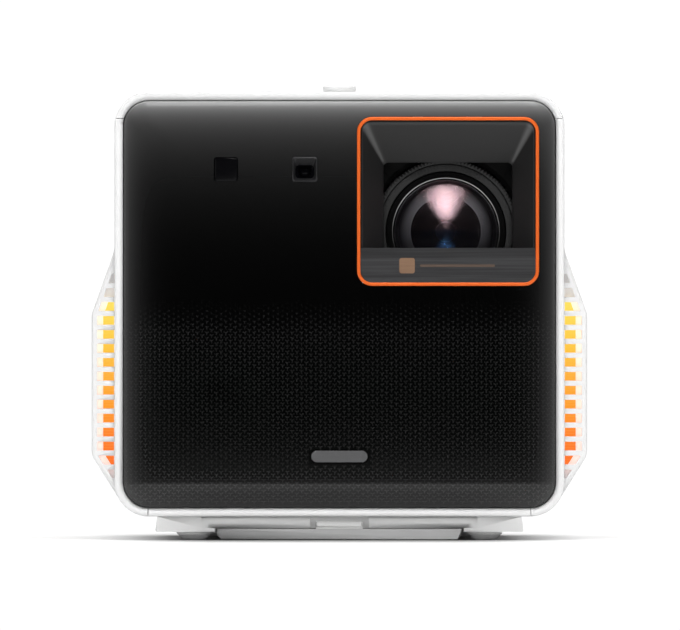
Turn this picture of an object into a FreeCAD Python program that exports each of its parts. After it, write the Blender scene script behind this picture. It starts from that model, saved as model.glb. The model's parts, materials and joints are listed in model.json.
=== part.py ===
"""Home projector: a cube-shaped case with a recessed short-throw lens, side wings with slotted vents and
light bars, a fold-down tilt stand, a joystick and two push buttons. All lengths are in millimetres.

X runs to the right as seen from the front, Y runs from the front to the back, and Z runs up.
The origin is at the middle of the footprint, at the height of the table that the feet stand on.
"""

import FreeCAD
import Part
import math
import os

V = FreeCAD.Vector

# ---- case ----------------------------------------------------------------------------------------
shell_width = 196.0        # across the two flat sides
shell_height = 185.0
shell_depth = 208.0
shell_lift = 10.4          # underside of the case above the table
shell_corner = 15.0        # outer corner radius, seen from the front
shell_wall = 3.6
rim_round = 0.8            # rounding of the white rim at the front and the back
seam_gap = 0.3             # gap between two covers
top_seam_drop = 11.6       # seam between top and side covers, below the top
base_seam_inset = 14.6     # seam between base and side covers, in from the side

# ---- front and rear panels -----------------------------------------------------------------------
panel_gap = 0.4            # shadow gap between the rim and the panel
panel_bevel = 0.45         # bevel round the edge of a panel's face
panel_wall = 2.4
panel_proud = 2.9          # how far the panel's face stands out of the rim
panel_skirt = 13.0         # overall depth of a panel
ledge_depth = 2.0          # ledge inside the covers that a panel's skirt rests on
ledge_reach = 3.4
crown_radius = 30.0        # roll-off of the panel's face towards its edges
crown_width = 11.0
boss_length = 1.4          # screw bosses inside the rear panel
piece_gap = 0.1            # clearance round a piece that is clipped into a panel

# ---- side wings ----------------------------------------------------------------------------------
wing_reach = 10.0          # how far a wing stands out of the side
wing_wall = 2.4
wing_end_inset = 5.0       # wing's end behind the case's rim
wing_slope_top = 68.9      # below the top of the case: where the upper slope leaves the side
wing_flat_top = 96.8       # below the top of the case: upper end of the wing's flat face
wing_flat_low = 26.6       # above the underside of the case: lower end of the flat face
wing_corner = 8.0
wing_blend = 14.0          # hollow blend where the upper slope leaves the side
wing_edge_round = 1.2
slot_count = 15
slot_pitch = 6.085
slot_height = 3.8
slot_first_drop = 81.3     # middle of the top slot, below the top of the case
side_slot_sections = 3
side_slot_margin = 10.0    # solid wing at each end of the side slots
side_slot_rib = 5.0        # upright rib between two sections of side slots
vent_window_margin = 15.0  # solid side wall in front of and behind the inner vent window
light_first_slot = 2       # the light bar shows behind these slots
light_last_slot = 13
light_bar_side_gap = 5.0   # from the wing's outer face to the light bar
light_bar_thickness = 3.0
light_bar_setback = 1.2    # behind the wing's end wall
light_holder_thickness = 2.0
mesh_thickness = 1.0

# ---- lens ring, hood and lens --------------------------------------------------------------------
ring_width = 79.3
ring_height = 73.6
ring_from_side = 11.05     # ring's outer edge to the side of the case
ring_from_top = 10.95      # ring's outer edge to the top of the case
ring_band = 1.5            # width of the coloured band
ring_corner = 6.6
ring_proud = 0.6           # in front of the panel's face
ring_depth = 7.5
strip_height = 15.05       # trim strip under the recess
strip_thickness = 0.8
strip_setback = 0.5        # strip's face behind the ring's face
window_width = 56.1
window_height = 37.3
window_from_left = 11.6    # ring's left edge to the window's left edge
hood_depth = 16.2
hood_wall = 2.0
window_corner = 2.0
lens_drop = 30.1           # lens axis below the top of the window
lens_left = 27.25          # lens axis to the window's left edge
fit_gap = 0.3              # running gap between pieces that move past each other

lens_setback = 2.3         # front lens vertex behind the hood
front_lens_radius = 23.2
front_lens_curve = 42.0
front_lens_back_curve = 46.0
front_lens_middle = 4.2
cell_wall = 2.6
barrel_wall = 1.4
focus_ring_wall = 3.8
inner_cell_rim = 2.4       # flat rim of the inner cell, behind the front lens
inner_cell_flare = 0.5     # how far its cone leans in from that rim
second_lens_radius = 15.3
second_lens_curve = 25.0
stop_radius = 4.4
shroud_gap = 2.5           # between focus ring and the wall of the step round the shroud's opening
shroud_play = 0.6          # between focus ring and the edge of the shroud's opening
shroud_step = 1.0          # depth of that step
engine_half_x = 36.0       # light engine's main box, either side of the lens axis
engine_half_z = 34.0
gear_module = 1.0
focus_teeth = 66
pinion_teeth = 12
gear_width = 7.0
gear_play = 0.3            # gap at the tips of the teeth

# ---- sensors and badges --------------------------------------------------------------------------
sensor_size = 10.4
sensor_corner = 1.1
sensor_from_left = 48.6    # middle of the sensor window to the left side of the case
sensor_drop = 33.8         # below the top of the case
camera_from_ring = 22.75   # middle of the recessed window to the ring's left edge
camera_size = 10.9
camera_hole_width = 8.1
camera_hole_height = 5.8
badge_width = 24.4
badge_height = 5.0
badge_rise = 26.2          # middle of the front badge above the underside of the case
badge_thickness = 0.3
icon_size = 6.7
strip_line_width = 32.6
strip_line_height = 1.1

# ---- base ----------------------------------------------------------------------------------------
plinth_height = 6.8
plinth_inset = 18.6        # plinth's top edge in from the side of the case
plinth_flare = 1.0
plinth_end_inset = 6.0     # plinth's end behind the case's rim
plinth_web = 2.8           # depth of the hollow in the plinth's top
foot_from_middle = 63.4
foot_end_inset = 14.0      # foot's middle in from the plinth's end
foot_radius = 7.7
foot_pad_radius = 6.9
foot_contact_radius = 4.1
foot_collar_height = 1.2
stand_width = 106.8
stand_length = 106.0       # hinge axis to the front edge
stand_thickness = 4.6
stand_clear = 0.4          # stand's underside above the table
stand_end_inset = 6.0      # stand's front edge behind the plinth's front
stand_side_gap = 0.8
stand_top_gap = 0.3
hinge_pin_radius = 1.2
hinge_play = 0.06
hinge_ear = 4.3
lip_width = 20.6
lip_height = 3.3
lip_reach = 5.4
insert_radius = 2.0        # M4 ceiling-mount holes
insert_wall = 1.2
insert_depth = 6.0
mount_pitch_x = 132.0
mount_pitch_y = 100.0
tripod_radius = 3.175      # quarter-inch tripod thread
tripod_y = 46.0

# ---- controls on the top -------------------------------------------------------------------------
control_end_inset = 42.0   # controls behind the front rim
control_pitch = 25.25
button_radius = 6.95
button_proud = 0.5
button_travel = 0.6
stick_radius = 7.15
stick_proud = 3.1
stick_gap = 0.2            # under the knob, at the level of the top
dimple_radius = 9.6
dimple_depth = 1.4
stick_hole_radius = 5.4
stick_pivot_drop = 8.0     # tilt centre below the top of the case
control_board_drop = 13.4

# ---- drives, fans and speakers -------------------------------------------------------------------
fan_floor = 22.6           # lower edge of the fans above the underside of the case
fan_headroom = 1.6         # between the fans and the light engine's underside
fan_depth = 15.0
fan_y = 42.0
fan_blades = 7
speaker_radius = 25.0
speaker_y = -48.0
speaker_depth = 24.0

# ---- sockets on the back -------------------------------------------------------------------------
socket_rise = 27.6         # middle of the sockets above the underside of the case
hdmi_width = 14.2
hdmi_height = 4.8
usb_a_width = 12.6
usb_a_height = 5.2
usb_c_width = 8.4
usb_c_height = 2.6
audio_radius = 1.8
dc_radius = 3.2
socket_depth = 14.0
socket_wall = 0.6

# ---- values worked out from the sizes above ------------------------------------------------------
half = shell_width / 2
shell_top = shell_lift + shell_height
front = -shell_depth / 2
back = shell_depth / 2
inner_half = half - shell_wall
panel_face = front - panel_proud
rear_face = back + panel_proud + ring_proud    # as far out as the lens ring, so the two ends balance
wing_front = front + wing_end_inset
wing_back = back - wing_end_inset
slot_heights = [shell_top - slot_first_drop - i * slot_pitch for i in range(slot_count)]
ring_face = panel_face - ring_proud
ring_right = half - ring_from_side
ring_left = ring_right - ring_width
ring_top = shell_top - ring_from_top
ring_low = ring_top - ring_height
opening_left = ring_left + ring_band
opening_right = ring_right - ring_band
opening_low = ring_low + ring_band
opening_top = ring_top - ring_band
strip_top = opening_low + strip_height
window_left = ring_left + window_from_left
window_right = window_left + window_width
window_top = strip_top + window_height
hood_face = ring_face + strip_setback + strip_thickness
hood_back = hood_face + hood_depth
lens_x = window_left + lens_left
lens_z = window_top - lens_drop
fan_low = shell_lift + fan_floor
fan_size = lens_z - engine_half_z - fan_headroom - fan_low     # fills the bay under the engine
fan_z = fan_low + fan_size / 2
plinth_front = front + plinth_end_inset
plinth_low = shell_lift - plinth_height
stand_front = plinth_front + stand_end_inset
hinge_y = stand_front + stand_length
hinge_z = stand_clear + stand_thickness / 2
recess_top = stand_clear + stand_thickness + stand_top_gap
control_y = front + control_end_inset


# ---- outlines and solids -------------------------------------------------------------------------
def place(axis, a, b, t):
    """A point from outline coordinates (a, b) and a distance t along the axis that the outline faces."""
    return {"x": V(t, a, b), "y": V(a, t, b), "z": V(a, b, t)}[axis]


def outline(points, radii, axis, t):
    """A closed wire through the points, each corner rounded by its own radius."""
    count = len(points)
    if not isinstance(radii, (list, tuple)):
        radii = [radii] * count
    stops = []
    for i, (x, y) in enumerate(points):
        before, after = points[i - 1], points[(i + 1) % count]
        a = V(before[0] - x, before[1] - y, 0).normalize()
        b = V(after[0] - x, after[1] - y, 0).normalize()
        corner = V(x, y, 0)
        if radii[i] <= 0:
            stops.append((corner, None, corner))
            continue
        half_angle = a.getAngle(b) / 2
        reach = radii[i] / math.tan(half_angle)
        middle = (a + b).normalize()
        arc_top = corner + middle * (radii[i] / math.sin(half_angle) - radii[i])
        stops.append((corner + a * reach, arc_top, corner + b * reach))

    def at(p):
        return place(axis, p.x, p.y, t)

    edges = []
    for i, (start, top, end) in enumerate(stops):
        if top is not None:
            edges.append(Part.Arc(at(start), at(top), at(end)).toShape())
        following = stops[(i + 1) % count][0]
        if (following - end).Length > 1e-6:
            edges.append(Part.LineSegment(at(end), at(following)).toShape())
    return Part.Wire(edges)


def prism(points, radii, axis, low, high):
    """The outline drawn at low and pushed along the axis to high."""
    face = Part.Face(outline(points, radii, axis, low))
    return face.extrude(place(axis, 0, 0, high - low))


def rectangle(a0, a1, b0, b1):
    return [(a0, b0), (a1, b0), (a1, b1), (a0, b1)]


def block(x0, x1, y0, y1, z0, z1):
    return Part.makeBox(x1 - x0, y1 - y0, z1 - z0, V(x0, y0, z0))


def rod(axis, a, b, radius, low, high):
    """A cylinder along the axis."""
    return Part.makeCylinder(radius, high - low, place(axis, a, b, low), place(axis, 0, 0, 1))


def tube(axis, a, b, outer, inner, low, high):
    return rod(axis, a, b, outer, low, high).cut(rod(axis, a, b, inner, low - 1, high + 1))


def turned(axis, a, b, profile, arcs=()):
    """A solid of revolution. The profile lists (radius, position along the axis). arcs gives, for the side
    that starts at a point's index, the middle point of an arc."""
    arcs = dict(arcs)
    side = {
        "x": lambda r, t: V(t, a + r, b),
        "y": lambda r, t: V(a + r, t, b),
        "z": lambda r, t: V(a + r, b, t),
    }
    at = side[axis]
    edges = []
    for i, (r, t) in enumerate(profile):
        r1, t1 = profile[(i + 1) % len(profile)]
        if i in arcs:
            edges.append(Part.Arc(at(r, t), at(*arcs[i]), at(r1, t1)).toShape())
        else:
            edges.append(Part.LineSegment(at(r, t), at(r1, t1)).toShape())
    face = Part.Face(Part.Wire(edges))
    return face.revolve(place(axis, a, b, 0), place(axis, 0, 0, 1), 360)


def inset(points, distances):
    """A convex outline, given anticlockwise, with each side moved inwards by its own distance."""
    count = len(points)
    lines = []
    for i in range(count):
        (x0, y0), (x1, y1) = points[i], points[(i + 1) % count]
        length = math.hypot(x1 - x0, y1 - y0)
        dx, dy = (x1 - x0) / length, (y1 - y0) / length
        lines.append((x0 - dy * distances[i], y0 + dx * distances[i], dx, dy))
    moved = []
    for i in range(count):
        x0, y0, dx0, dy0 = lines[i - 1]
        x1, y1, dx1, dy1 = lines[i]
        along = ((x1 - x0) * dy1 - (y1 - y0) * dx1) / (dx0 * dy1 - dy0 * dx1)
        moved.append((x0 + dx0 * along, y0 + dy0 * along))
    return moved


def fuse(shapes):
    whole = shapes[0]
    for shape in shapes[1:]:
        whole = whole.fuse(shape)
    return whole.removeSplitter()


def cut(shape, tools):
    return shape.cut(Part.Compound(tools)) if tools else shape


def mirrored(shape):
    """The same shape on the other side of the middle plane."""
    return shape.mirror(V(0, 0, 0), V(1, 0, 0))


def both_sides(shape):
    return Part.Compound([shape, mirrored(shape)])


def rounded(shape, radius, wanted):
    """Rounds the edges for which wanted(edge's middle) is true."""
    edges = [e for e in shape.Edges if wanted(e.BoundBox.Center)]
    return shape.makeFillet(radius, edges)


# ---- case covers ---------------------------------------------------------------------------------
def case_outline(depth_in):
    """Points and corner radius of the case's outline, moved inwards by depth_in."""
    points = rectangle(-half + depth_in, half - depth_in, shell_lift + depth_in, shell_top - depth_in)
    return points, shell_corner - depth_in


def case_tube():
    """The whole white case as one open-ended tube."""
    points, corner = case_outline(0)
    outer = prism(points, corner, "y", front, back)
    outer = rounded(outer, rim_round, lambda c: abs(abs(c.y) - back) < 0.01)
    points, corner = case_outline(shell_wall)
    case = outer.cut(prism(points, corner, "y", front - 1, back + 1))
    ledges = [panel_ledge(panel_face + panel_skirt, 1), panel_ledge(rear_face - panel_skirt, -1)]
    return fuse([case] + ledges)


def panel_ledge(at, way):
    """A rib round the inside of the case that the end of a panel's skirt rests on."""
    low, high = sorted((at, at + way * ledge_depth))
    points, corner = case_outline(shell_wall / 2)
    rib = prism(points, corner, "y", low, high)
    points, corner = case_outline(shell_wall + ledge_reach)
    return rib.cut(prism(points, corner, "y", low - 1, high + 1))


def base_tangent():
    """Where the wing's lower slope touches the case's lower corner."""
    centre = (half - shell_corner, shell_lift + shell_corner)
    px, pz = half + wing_reach - centre[0], shell_lift + wing_flat_low - centre[1]
    distance = math.hypot(px, pz)
    angle = math.atan2(pz, px) - math.acos(shell_corner / distance)
    return centre, angle


def wing_section(wall, side=0.0):
    """Right wing's outline outside the case's side, moved inwards by wall, and by side next to the case."""
    centre, angle = base_tangent()
    tx = centre[0] + shell_corner * math.cos(angle)
    tz = centre[1] + shell_corner * math.sin(angle)
    px, pz = half + wing_reach, shell_lift + wing_flat_low
    low = tz + (half - tx) * (pz - tz) / (px - tx)
    points = [
        (half, low),
        (px, pz),
        (px, shell_top - wing_flat_top),
        (half, shell_top - wing_slope_top),
    ]
    return inset(points, [wall, wall, wall, side])


def wing_prism(wall, low, high, side=0.0):
    corner = max(wing_corner - wall, 0.5)
    return prism(wing_section(wall, side), [0, corner, corner, 0], "y", low, high)


def wing_outer():
    """The wing's outer body, with a foot inside the case's wall so that the two join."""
    centre, angle = base_tangent()
    root = shell_wall / 2

    def on_corner(radius):
        return centre[0] + radius * math.cos(angle), centre[1] + radius * math.sin(angle)

    slope_z = shell_top - wing_slope_top
    blend_run = wing_blend * 1.5
    points = [
        (half - root, slope_z + blend_run),
        on_corner(shell_corner - root),
        on_corner(shell_corner),
        (half + wing_reach, shell_lift + wing_flat_low),
        (half + wing_reach, shell_top - wing_flat_top),
        (half, slope_z),
        (half, slope_z + blend_run),
    ]
    body = prism(points, [0, 0, 0, wing_corner, wing_corner, wing_blend, 0], "y", wing_front, wing_back)
    ends = (wing_front, wing_back)
    return rounded(
        body,
        wing_edge_round,
        lambda c: min(abs(c.y - e) for e in ends) < 0.01 and c.x > half + wing_reach * 0.3,
    )


def front_slots():
    """Cutters for the slots in both end faces of the right wing."""
    cutters = []
    for z in slot_heights:
        low, high = z - slot_height / 2, z + slot_height / 2
        cutters.append(block(half, half + wing_reach, wing_front - 1, wing_back + 1, low, high))
    inside = wing_prism(wing_wall, wing_front - 1, wing_back + 1)
    return [c.common(inside) for c in cutters]


def side_slots():
    """Cutters for the long slots in the right wing's outer face."""
    run = wing_back - wing_front - 2 * side_slot_margin
    length = (run - (side_slot_sections - 1) * side_slot_rib) / side_slot_sections
    cutters = []
    for section in range(side_slot_sections):
        y = wing_front + side_slot_margin + section * (length + side_slot_rib)
        for z in slot_heights:
            low, high = z - slot_height / 2, z + slot_height / 2
            cutters.append(block(half + 0.4, half + wing_reach + 1, y, y + length, low, high))
    return cutters


def vent_window():
    """Cutter for the opening between the wing and the inside of the case."""
    low = fan_z - fan_size / 2 + 5
    high = fan_z + fan_size / 2 - 5
    y0, y1 = wing_front + vent_window_margin, wing_back - vent_window_margin
    return prism(rectangle(y0, y1, low, high), 6, "x", inner_half - 1, half + 0.1)


def right_side_cover():
    seam_z = shell_top - top_seam_drop - seam_gap / 2
    seam_x = half - base_seam_inset + seam_gap / 2
    keep = block(seam_x, half + 1, front - 1, back + 1, shell_lift - 1, seam_z)
    points, corner = case_outline(shell_wall)
    cavity = prism(points, corner, "y", front - 1, back + 1)
    cover = case_tube().common(keep).fuse(wing_outer().cut(cavity))
    hollow = wing_prism(wing_wall, wing_front + wing_wall, wing_back - wing_wall)
    return cut(cover, [hollow, vent_window()] + front_slots() + side_slots()).removeSplitter()


def top_cover():
    seam_z = shell_top - top_seam_drop + seam_gap / 2
    keep = block(-half - 1, half + 1, front - 1, back + 1, seam_z, shell_top + 1)
    cover = case_tube().common(keep)
    under = shell_top - shell_wall
    posts = []
    for x in (-control_pitch - 9, control_pitch + 9):
        for y in (control_y - 9, control_y + 9):
            posts.append(rod("z", x, y, 2.2, shell_top - control_board_drop + 1.6, under))
    posts += screw_posts(screw_high, under + 1)
    holes = [rod("z", 0, control_y, stick_hole_radius, under - 1, shell_top)]
    for x in (-control_pitch, control_pitch):
        holes.append(rod("z", x, control_y, button_radius + fit_gap, under - 1, shell_top + 1))
    floor = shell_top - dimple_depth
    centre = V(0, control_y, floor)
    holes.append(Part.makeCone(dimple_radius - 1.2, dimple_radius, dimple_depth, centre))
    return cut(fuse([cover] + posts), holes)


def screw_posts(post_z, wall_z):
    """Posts inside the rear panel that its screws bite into, each on a foot that joins it to the cover."""
    posts = []
    start = rear_face - panel_skirt - ledge_depth
    end = rear_face - panel_wall - boss_length
    for x in (-screw_x, screw_x):
        post = rod("y", x, post_z, 3.6, start, end)
        low, high = sorted((post_z, wall_z))
        foot = block(x - 3.6, x + 3.6, start, start + ledge_depth, low, high)
        posts.append(fuse([post, foot]).cut(rod("y", x, post_z, 1.25, start + 2, end + 1)))
    return posts


screw_x = half - 38.0
screw_low = shell_lift + 11.0
screw_high = shell_top - 14.0


def base_cover():
    seam_x = half - base_seam_inset - seam_gap / 2
    keep = block(-seam_x, seam_x, front - 1, back + 1, shell_lift - 1, shell_lift + shell_wall + 1)
    cover = case_tube().common(keep)
    top = shell_lift + shell_wall
    posts = screw_posts(screw_low, top - 1)
    for x, y in tray_points():
        posts.append(tube("z", x, y, 4.0, 1.4, top, top + tray_lift))
    return fuse([cover] + posts)


tray_lift = 2.6


def tray_points():
    """Screw points of the inner chassis tray."""
    return [(sx * (half - 28), sy * (back - 34)) for sx in (-1, 1) for sy in (-1, 1)]


# ---- panels --------------------------------------------------------------------------------------
def crowned(depth_in, face, open_end, radius):
    """A block with the panel's outline whose face rolls off gently towards the edges."""
    way = 1 if open_end > face else -1
    points, corner = case_outline(shell_wall + panel_gap + depth_in)
    body = prism(points, corner, "y", face, open_end)
    spread = crown_radius - crown_width
    points, corner = case_outline(shell_wall + panel_gap + depth_in - spread)
    cap = prism(points, corner, "y", face, face + way * (radius + 5))
    cap = rounded(cap, radius, lambda c: abs(c.y - face) < 0.01)
    return body.common(cap)


def bevelled(face, way, open_end):
    """The panel's outline as a block with a bevel all round, where the crowned face meets the sides."""
    edge = face + way * (crown_radius - math.sqrt(crown_radius ** 2 - crown_width ** 2))
    shapes = []
    for depth_in, y in ((panel_bevel, edge - way * 0.01), (0, edge + way * panel_bevel)):
        points, corner = case_outline(shell_wall + panel_gap + depth_in)
        shapes.append(outline(points, corner, "y", y))
    slope = Part.makeLoft(shapes, True, True)
    points, corner = case_outline(shell_wall + panel_gap + panel_bevel)
    nose = prism(points, corner, "y", *sorted((face - way, edge)))
    points, corner = case_outline(shell_wall + panel_gap)
    rest = prism(points, corner, "y", *sorted((edge + way * panel_bevel, open_end)))
    return fuse([nose, slope, rest])


def panel_body(face, way):
    """A dished panel: the crowned block with the same shape cut out of its inside."""
    outer = crowned(0, face, face + way * panel_skirt, crown_radius)
    outer = outer.common(bevelled(face, way, face + way * panel_skirt))
    inner = crowned(panel_wall, face + way * panel_wall, face + way * (panel_skirt + 1),
                    crown_radius - panel_wall)
    return outer.cut(inner)


def ring_outline(depth_in):
    points = rectangle(ring_left + depth_in, ring_right - depth_in, ring_low + depth_in,
                       ring_top - depth_in)
    return points, ring_corner - depth_in


def sensor_outline(size, middle_x):
    z = shell_top - sensor_drop
    return rectangle(middle_x - size / 2, middle_x + size / 2, z - size / 2, z + size / 2)


sensor_x = sensor_from_left - half
camera_x = ring_left - camera_from_ring


def front_panel():
    points, corner = ring_outline(-piece_gap)
    deep = panel_face + panel_skirt + 1
    holes = [prism(points, corner, "y", panel_face - 1, deep)]
    for size, x in ((sensor_size, sensor_x), (camera_size, camera_x)):
        points = sensor_outline(size + 2 * piece_gap, x)
        holes.append(prism(points, sensor_corner + piece_gap, "y", panel_face - 1, deep))
    return cut(panel_body(panel_face, 1), holes)


def socket_places():
    """Middle X of each socket, by name."""
    return {"dc": half - 30, "hdmi_1": half - 52, "hdmi_2": half - 74, "usb_a": half - 96,
            "usb_c": half - 112,
            "audio": half - 126}


def socket_openings(gap):
    """Cutters through the rear panel for the sockets, each larger than its socket by gap."""
    z = shell_lift + socket_rise
    at = socket_places()
    y0, y1 = rear_face - panel_wall - 1, rear_face + 1
    found = []
    sizes = {"hdmi_1": (hdmi_width, hdmi_height), "hdmi_2": (hdmi_width, hdmi_height),
             "usb_a": (usb_a_width, usb_a_height), "usb_c": (usb_c_width, usb_c_height)}
    for name, (width, height) in sizes.items():
        w, h = width / 2 + socket_wall + gap, height / 2 + socket_wall + gap
        found.append(prism(rectangle(at[name] - w, at[name] + w, z - h, z + h), 0.8, "y", y0, y1))
    found.append(rod("y", at["audio"], z, audio_radius + 2 + gap, y0, y1))
    found.append(rod("y", at["dc"], z, dc_radius + 1.8 + gap, y0, y1))
    return found


def rear_vents():
    """Cutters for the exhaust slots in the rear panel."""
    cutters = []
    for row in range(11):
        z = shell_top - 40 - row * 7.0
        for side in (-1, 1):
            x = side * (half - 58)
            cutters.append(prism(rectangle(x - 30, x + 30, z - 1.7, z + 1.7), 1.6, "y", rear_face - 4,
                                 rear_face + 1))
    return cutters


def rear_panel():
    bosses = []
    for x in (-screw_x, screw_x):
        for z in (screw_low, screw_high):
            bosses.append(rod("y", x, z, 4.4, rear_face - panel_wall - boss_length, rear_face - 2.4))
    panel = fuse([panel_body(rear_face, -1)] + bosses)
    holes = socket_openings(0.2) + rear_vents()
    for x in (-screw_x, screw_x):
        for z in (screw_low, screw_high):
            holes.append(rod("y", x, z, 1.7, rear_face - 6, rear_face + 1))
            holes.append(rod("y", x, z, 3.3, rear_face - 1.9, rear_face + 1))
    return cut(panel, holes)


def rear_screws():
    screws = []
    for x in (-screw_x, screw_x):
        for z in (screw_low, screw_high):
            head = rod("y", x, z, 3.0, rear_face - 1.9, rear_face - 0.7)
            drive = prism(rectangle(x - 1.6, x + 1.6, z - 0.35, z + 0.35), 0, "y", rear_face - 1.4,
                          rear_face)
            cross = prism(rectangle(x - 0.35, x + 0.35, z - 1.6, z + 1.6), 0, "y", rear_face - 1.4,
                          rear_face)
            shank = rod("y", x, z, 1.2, rear_face - 10, rear_face - 1.9)
            screws.append(cut(head.fuse(shank), [drive, cross]).removeSplitter())
    return Part.Compound(screws)


# ---- lens ring, hood, strip and sensors ----------------------------------------------------------
def lens_ring():
    points, corner = ring_outline(0)
    outer = prism(points, corner, "y", ring_face, ring_face + ring_depth)
    points, corner = ring_outline(ring_band)
    ring = outer.cut(prism(points, corner, "y", ring_face - 1, ring_face + ring_depth + 1))
    return rounded(ring, 0.45, lambda c: abs(c.y - ring_face) < 0.01)


def recess_mouth(y):
    """The recess's opening at the front: three sides slope in, and the fourth is the strip's top edge."""
    edge = 0.7
    points = rectangle(opening_left + edge, opening_right - edge, strip_top, opening_top - edge)
    return outline(points, [0.6, 0.6, 4.0, 4.0], "y", y)


def recess_window(y):
    points = rectangle(window_left, window_right, strip_top - 0.9, window_top)
    return outline(points, [0.6, 0.6, window_corner, window_corner], "y", y)


def lens_hood():
    rect = rectangle(opening_left, opening_right, opening_low, opening_top)
    corner = ring_corner - ring_band
    plate = prism(rect, corner, "y", hood_face, hood_face + hood_wall)
    start = outline(rect, corner, "y", hood_face + hood_wall)
    w = hood_wall
    end_points = rectangle(window_left - w, window_right + w, strip_top - 0.9 - w, window_top + w)
    end = outline(end_points, window_corner, "y", hood_back)
    skin = Part.makeLoft([start, end], True, True)
    body = plate.fuse(skin)
    throat = Part.makeLoft([recess_mouth(hood_face - 0.01), recess_window(hood_back - w)], True, True)
    through = Part.Face(recess_window(hood_back - w - 0.01)).extrude(V(0, w + 1, 0))
    pocket = block(opening_left + 4, opening_right - 4, hood_face + w, hood_back + 1, opening_low + 2.2,
                   strip_top - 0.9 - w)
    return cut(body, [throat, through, pocket]).removeSplitter()


def trim_strip():
    points = rectangle(opening_left, opening_right, opening_low, strip_top)
    corner = ring_corner - ring_band
    return prism(points, [corner, corner, 0.2, 0.2], "y", hood_face - strip_thickness, hood_face)


def badges():
    """Plain marks with no lettering: one on the front panel, and a square and a line on the trim strip."""
    z = shell_lift + badge_rise
    w, h = badge_width / 2, badge_height / 2
    front_mark = prism(rectangle(-w, w, z - h, z + h), h * 0.98, "y", panel_face - badge_thickness,
                       panel_face)
    z = opening_low + strip_height / 2 - 0.2
    face = hood_face - strip_thickness
    x = opening_left + 20.3
    s = icon_size / 2
    icon = prism(rectangle(x - s, x + s, z - s, z + s), 1.0, "y", face - 0.15, face)
    x0 = x + s + 2.3
    h = strip_line_height / 2
    line = prism(rectangle(x0, x0 + strip_line_width, z - h, z + h), h * 0.98, "y", face - 0.15, face)
    return Part.Compound([front_mark, icon, line])


def sensor_window():
    face = panel_face + 0.4
    inside = panel_face + panel_wall
    plug = prism(sensor_outline(sensor_size, sensor_x), sensor_corner, "y", face, inside)
    flange = prism(sensor_outline(sensor_size + 3, sensor_x), sensor_corner + 1, "y", inside,
                   inside + 1)
    return fuse([plug, flange])


def camera_bezel():
    inside = panel_face + panel_wall
    points = sensor_outline(camera_size, camera_x)
    plug = prism(points, sensor_corner, "y", panel_face + 0.1, inside)
    flange = prism(sensor_outline(camera_size + 3, camera_x), sensor_corner + 1, "y", inside,
                   inside + 2.6)
    z = shell_top - sensor_drop
    edge = camera_size / 2 - 0.5
    mouth = outline(rectangle(camera_x - edge, camera_x + edge, z - edge, z + edge), 1.2, "y",
                    panel_face + 0.09)
    w, h = camera_hole_width / 2, camera_hole_height / 2
    low = z - 1.0
    throat_points = rectangle(camera_x - w, camera_x + w, low - h, low + h)
    throat = outline(throat_points, 1.6, "y", inside + 1.2)
    funnel = Part.makeLoft([mouth, throat], True, True)
    through = prism(throat_points, 1.6, "y", inside + 1.19, inside + 4)
    return cut(fuse([plug, flange]), [funnel, through])


def camera_lens():
    start = panel_face + panel_wall + 2.6
    z = shell_top - sensor_drop - 1.0
    holder = block(camera_x - 6, camera_x + 6, start, start + 7, z - 5, z + 5)
    holder = holder.cut(rod("y", camera_x, z, 2.8, start - 1, start + 3))
    profile = [(0, start + 0.6), (2.4, start + 1.4), (2.4, start + 3.2), (0, start + 3.2)]
    glass = turned("y", camera_x, z, profile, {0: (1.25, start + 0.8)})
    return fuse([holder, glass])


# ---- light bars, vent meshes ---------------------------------------------------------------------
def light_bar():
    low = slot_heights[light_last_slot] - slot_height / 2 - 0.3
    high = slot_heights[light_first_slot] + slot_height / 2 + 0.3
    y = wing_front + wing_wall + light_bar_setback
    bar = wing_prism(light_bar_side_gap, y, y + light_bar_thickness, 0.3)
    return bar.common(block(half, half + wing_reach, y, y + light_bar_thickness, low, high))


def light_holder():
    y = wing_front + wing_wall + light_bar_setback + light_bar_thickness
    return wing_prism(wing_wall, y, y + light_holder_thickness, 0.2)


def vent_mesh():
    """A thin bent sheet that follows the inside of the wing behind the side slots."""
    y0 = wing_front + wing_wall + light_bar_setback + light_bar_thickness + light_holder_thickness + 0.5
    y1 = wing_back - wing_wall - 0.5
    outer = wing_prism(wing_wall, y0, y1, 0.3)
    inner = wing_prism(wing_wall + mesh_thickness, y0 - 1, y1 + 1)
    reach_in = block(half - 5, half + 0.9, y0 - 1, y1 + 1, shell_lift, shell_top)
    return outer.cut(inner).cut(reach_in)


# ---- plinth, stand and feet ----------------------------------------------------------------------
def foot_places():
    y = -plinth_front - foot_end_inset
    return [(sx * foot_from_middle, sy * y) for sx in (-1, 1) for sy in (-1, 1)]


def mount_places():
    return [(sx * mount_pitch_x / 2, sy * mount_pitch_y / 2) for sx in (-1, 1) for sy in (-1, 1)]


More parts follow.
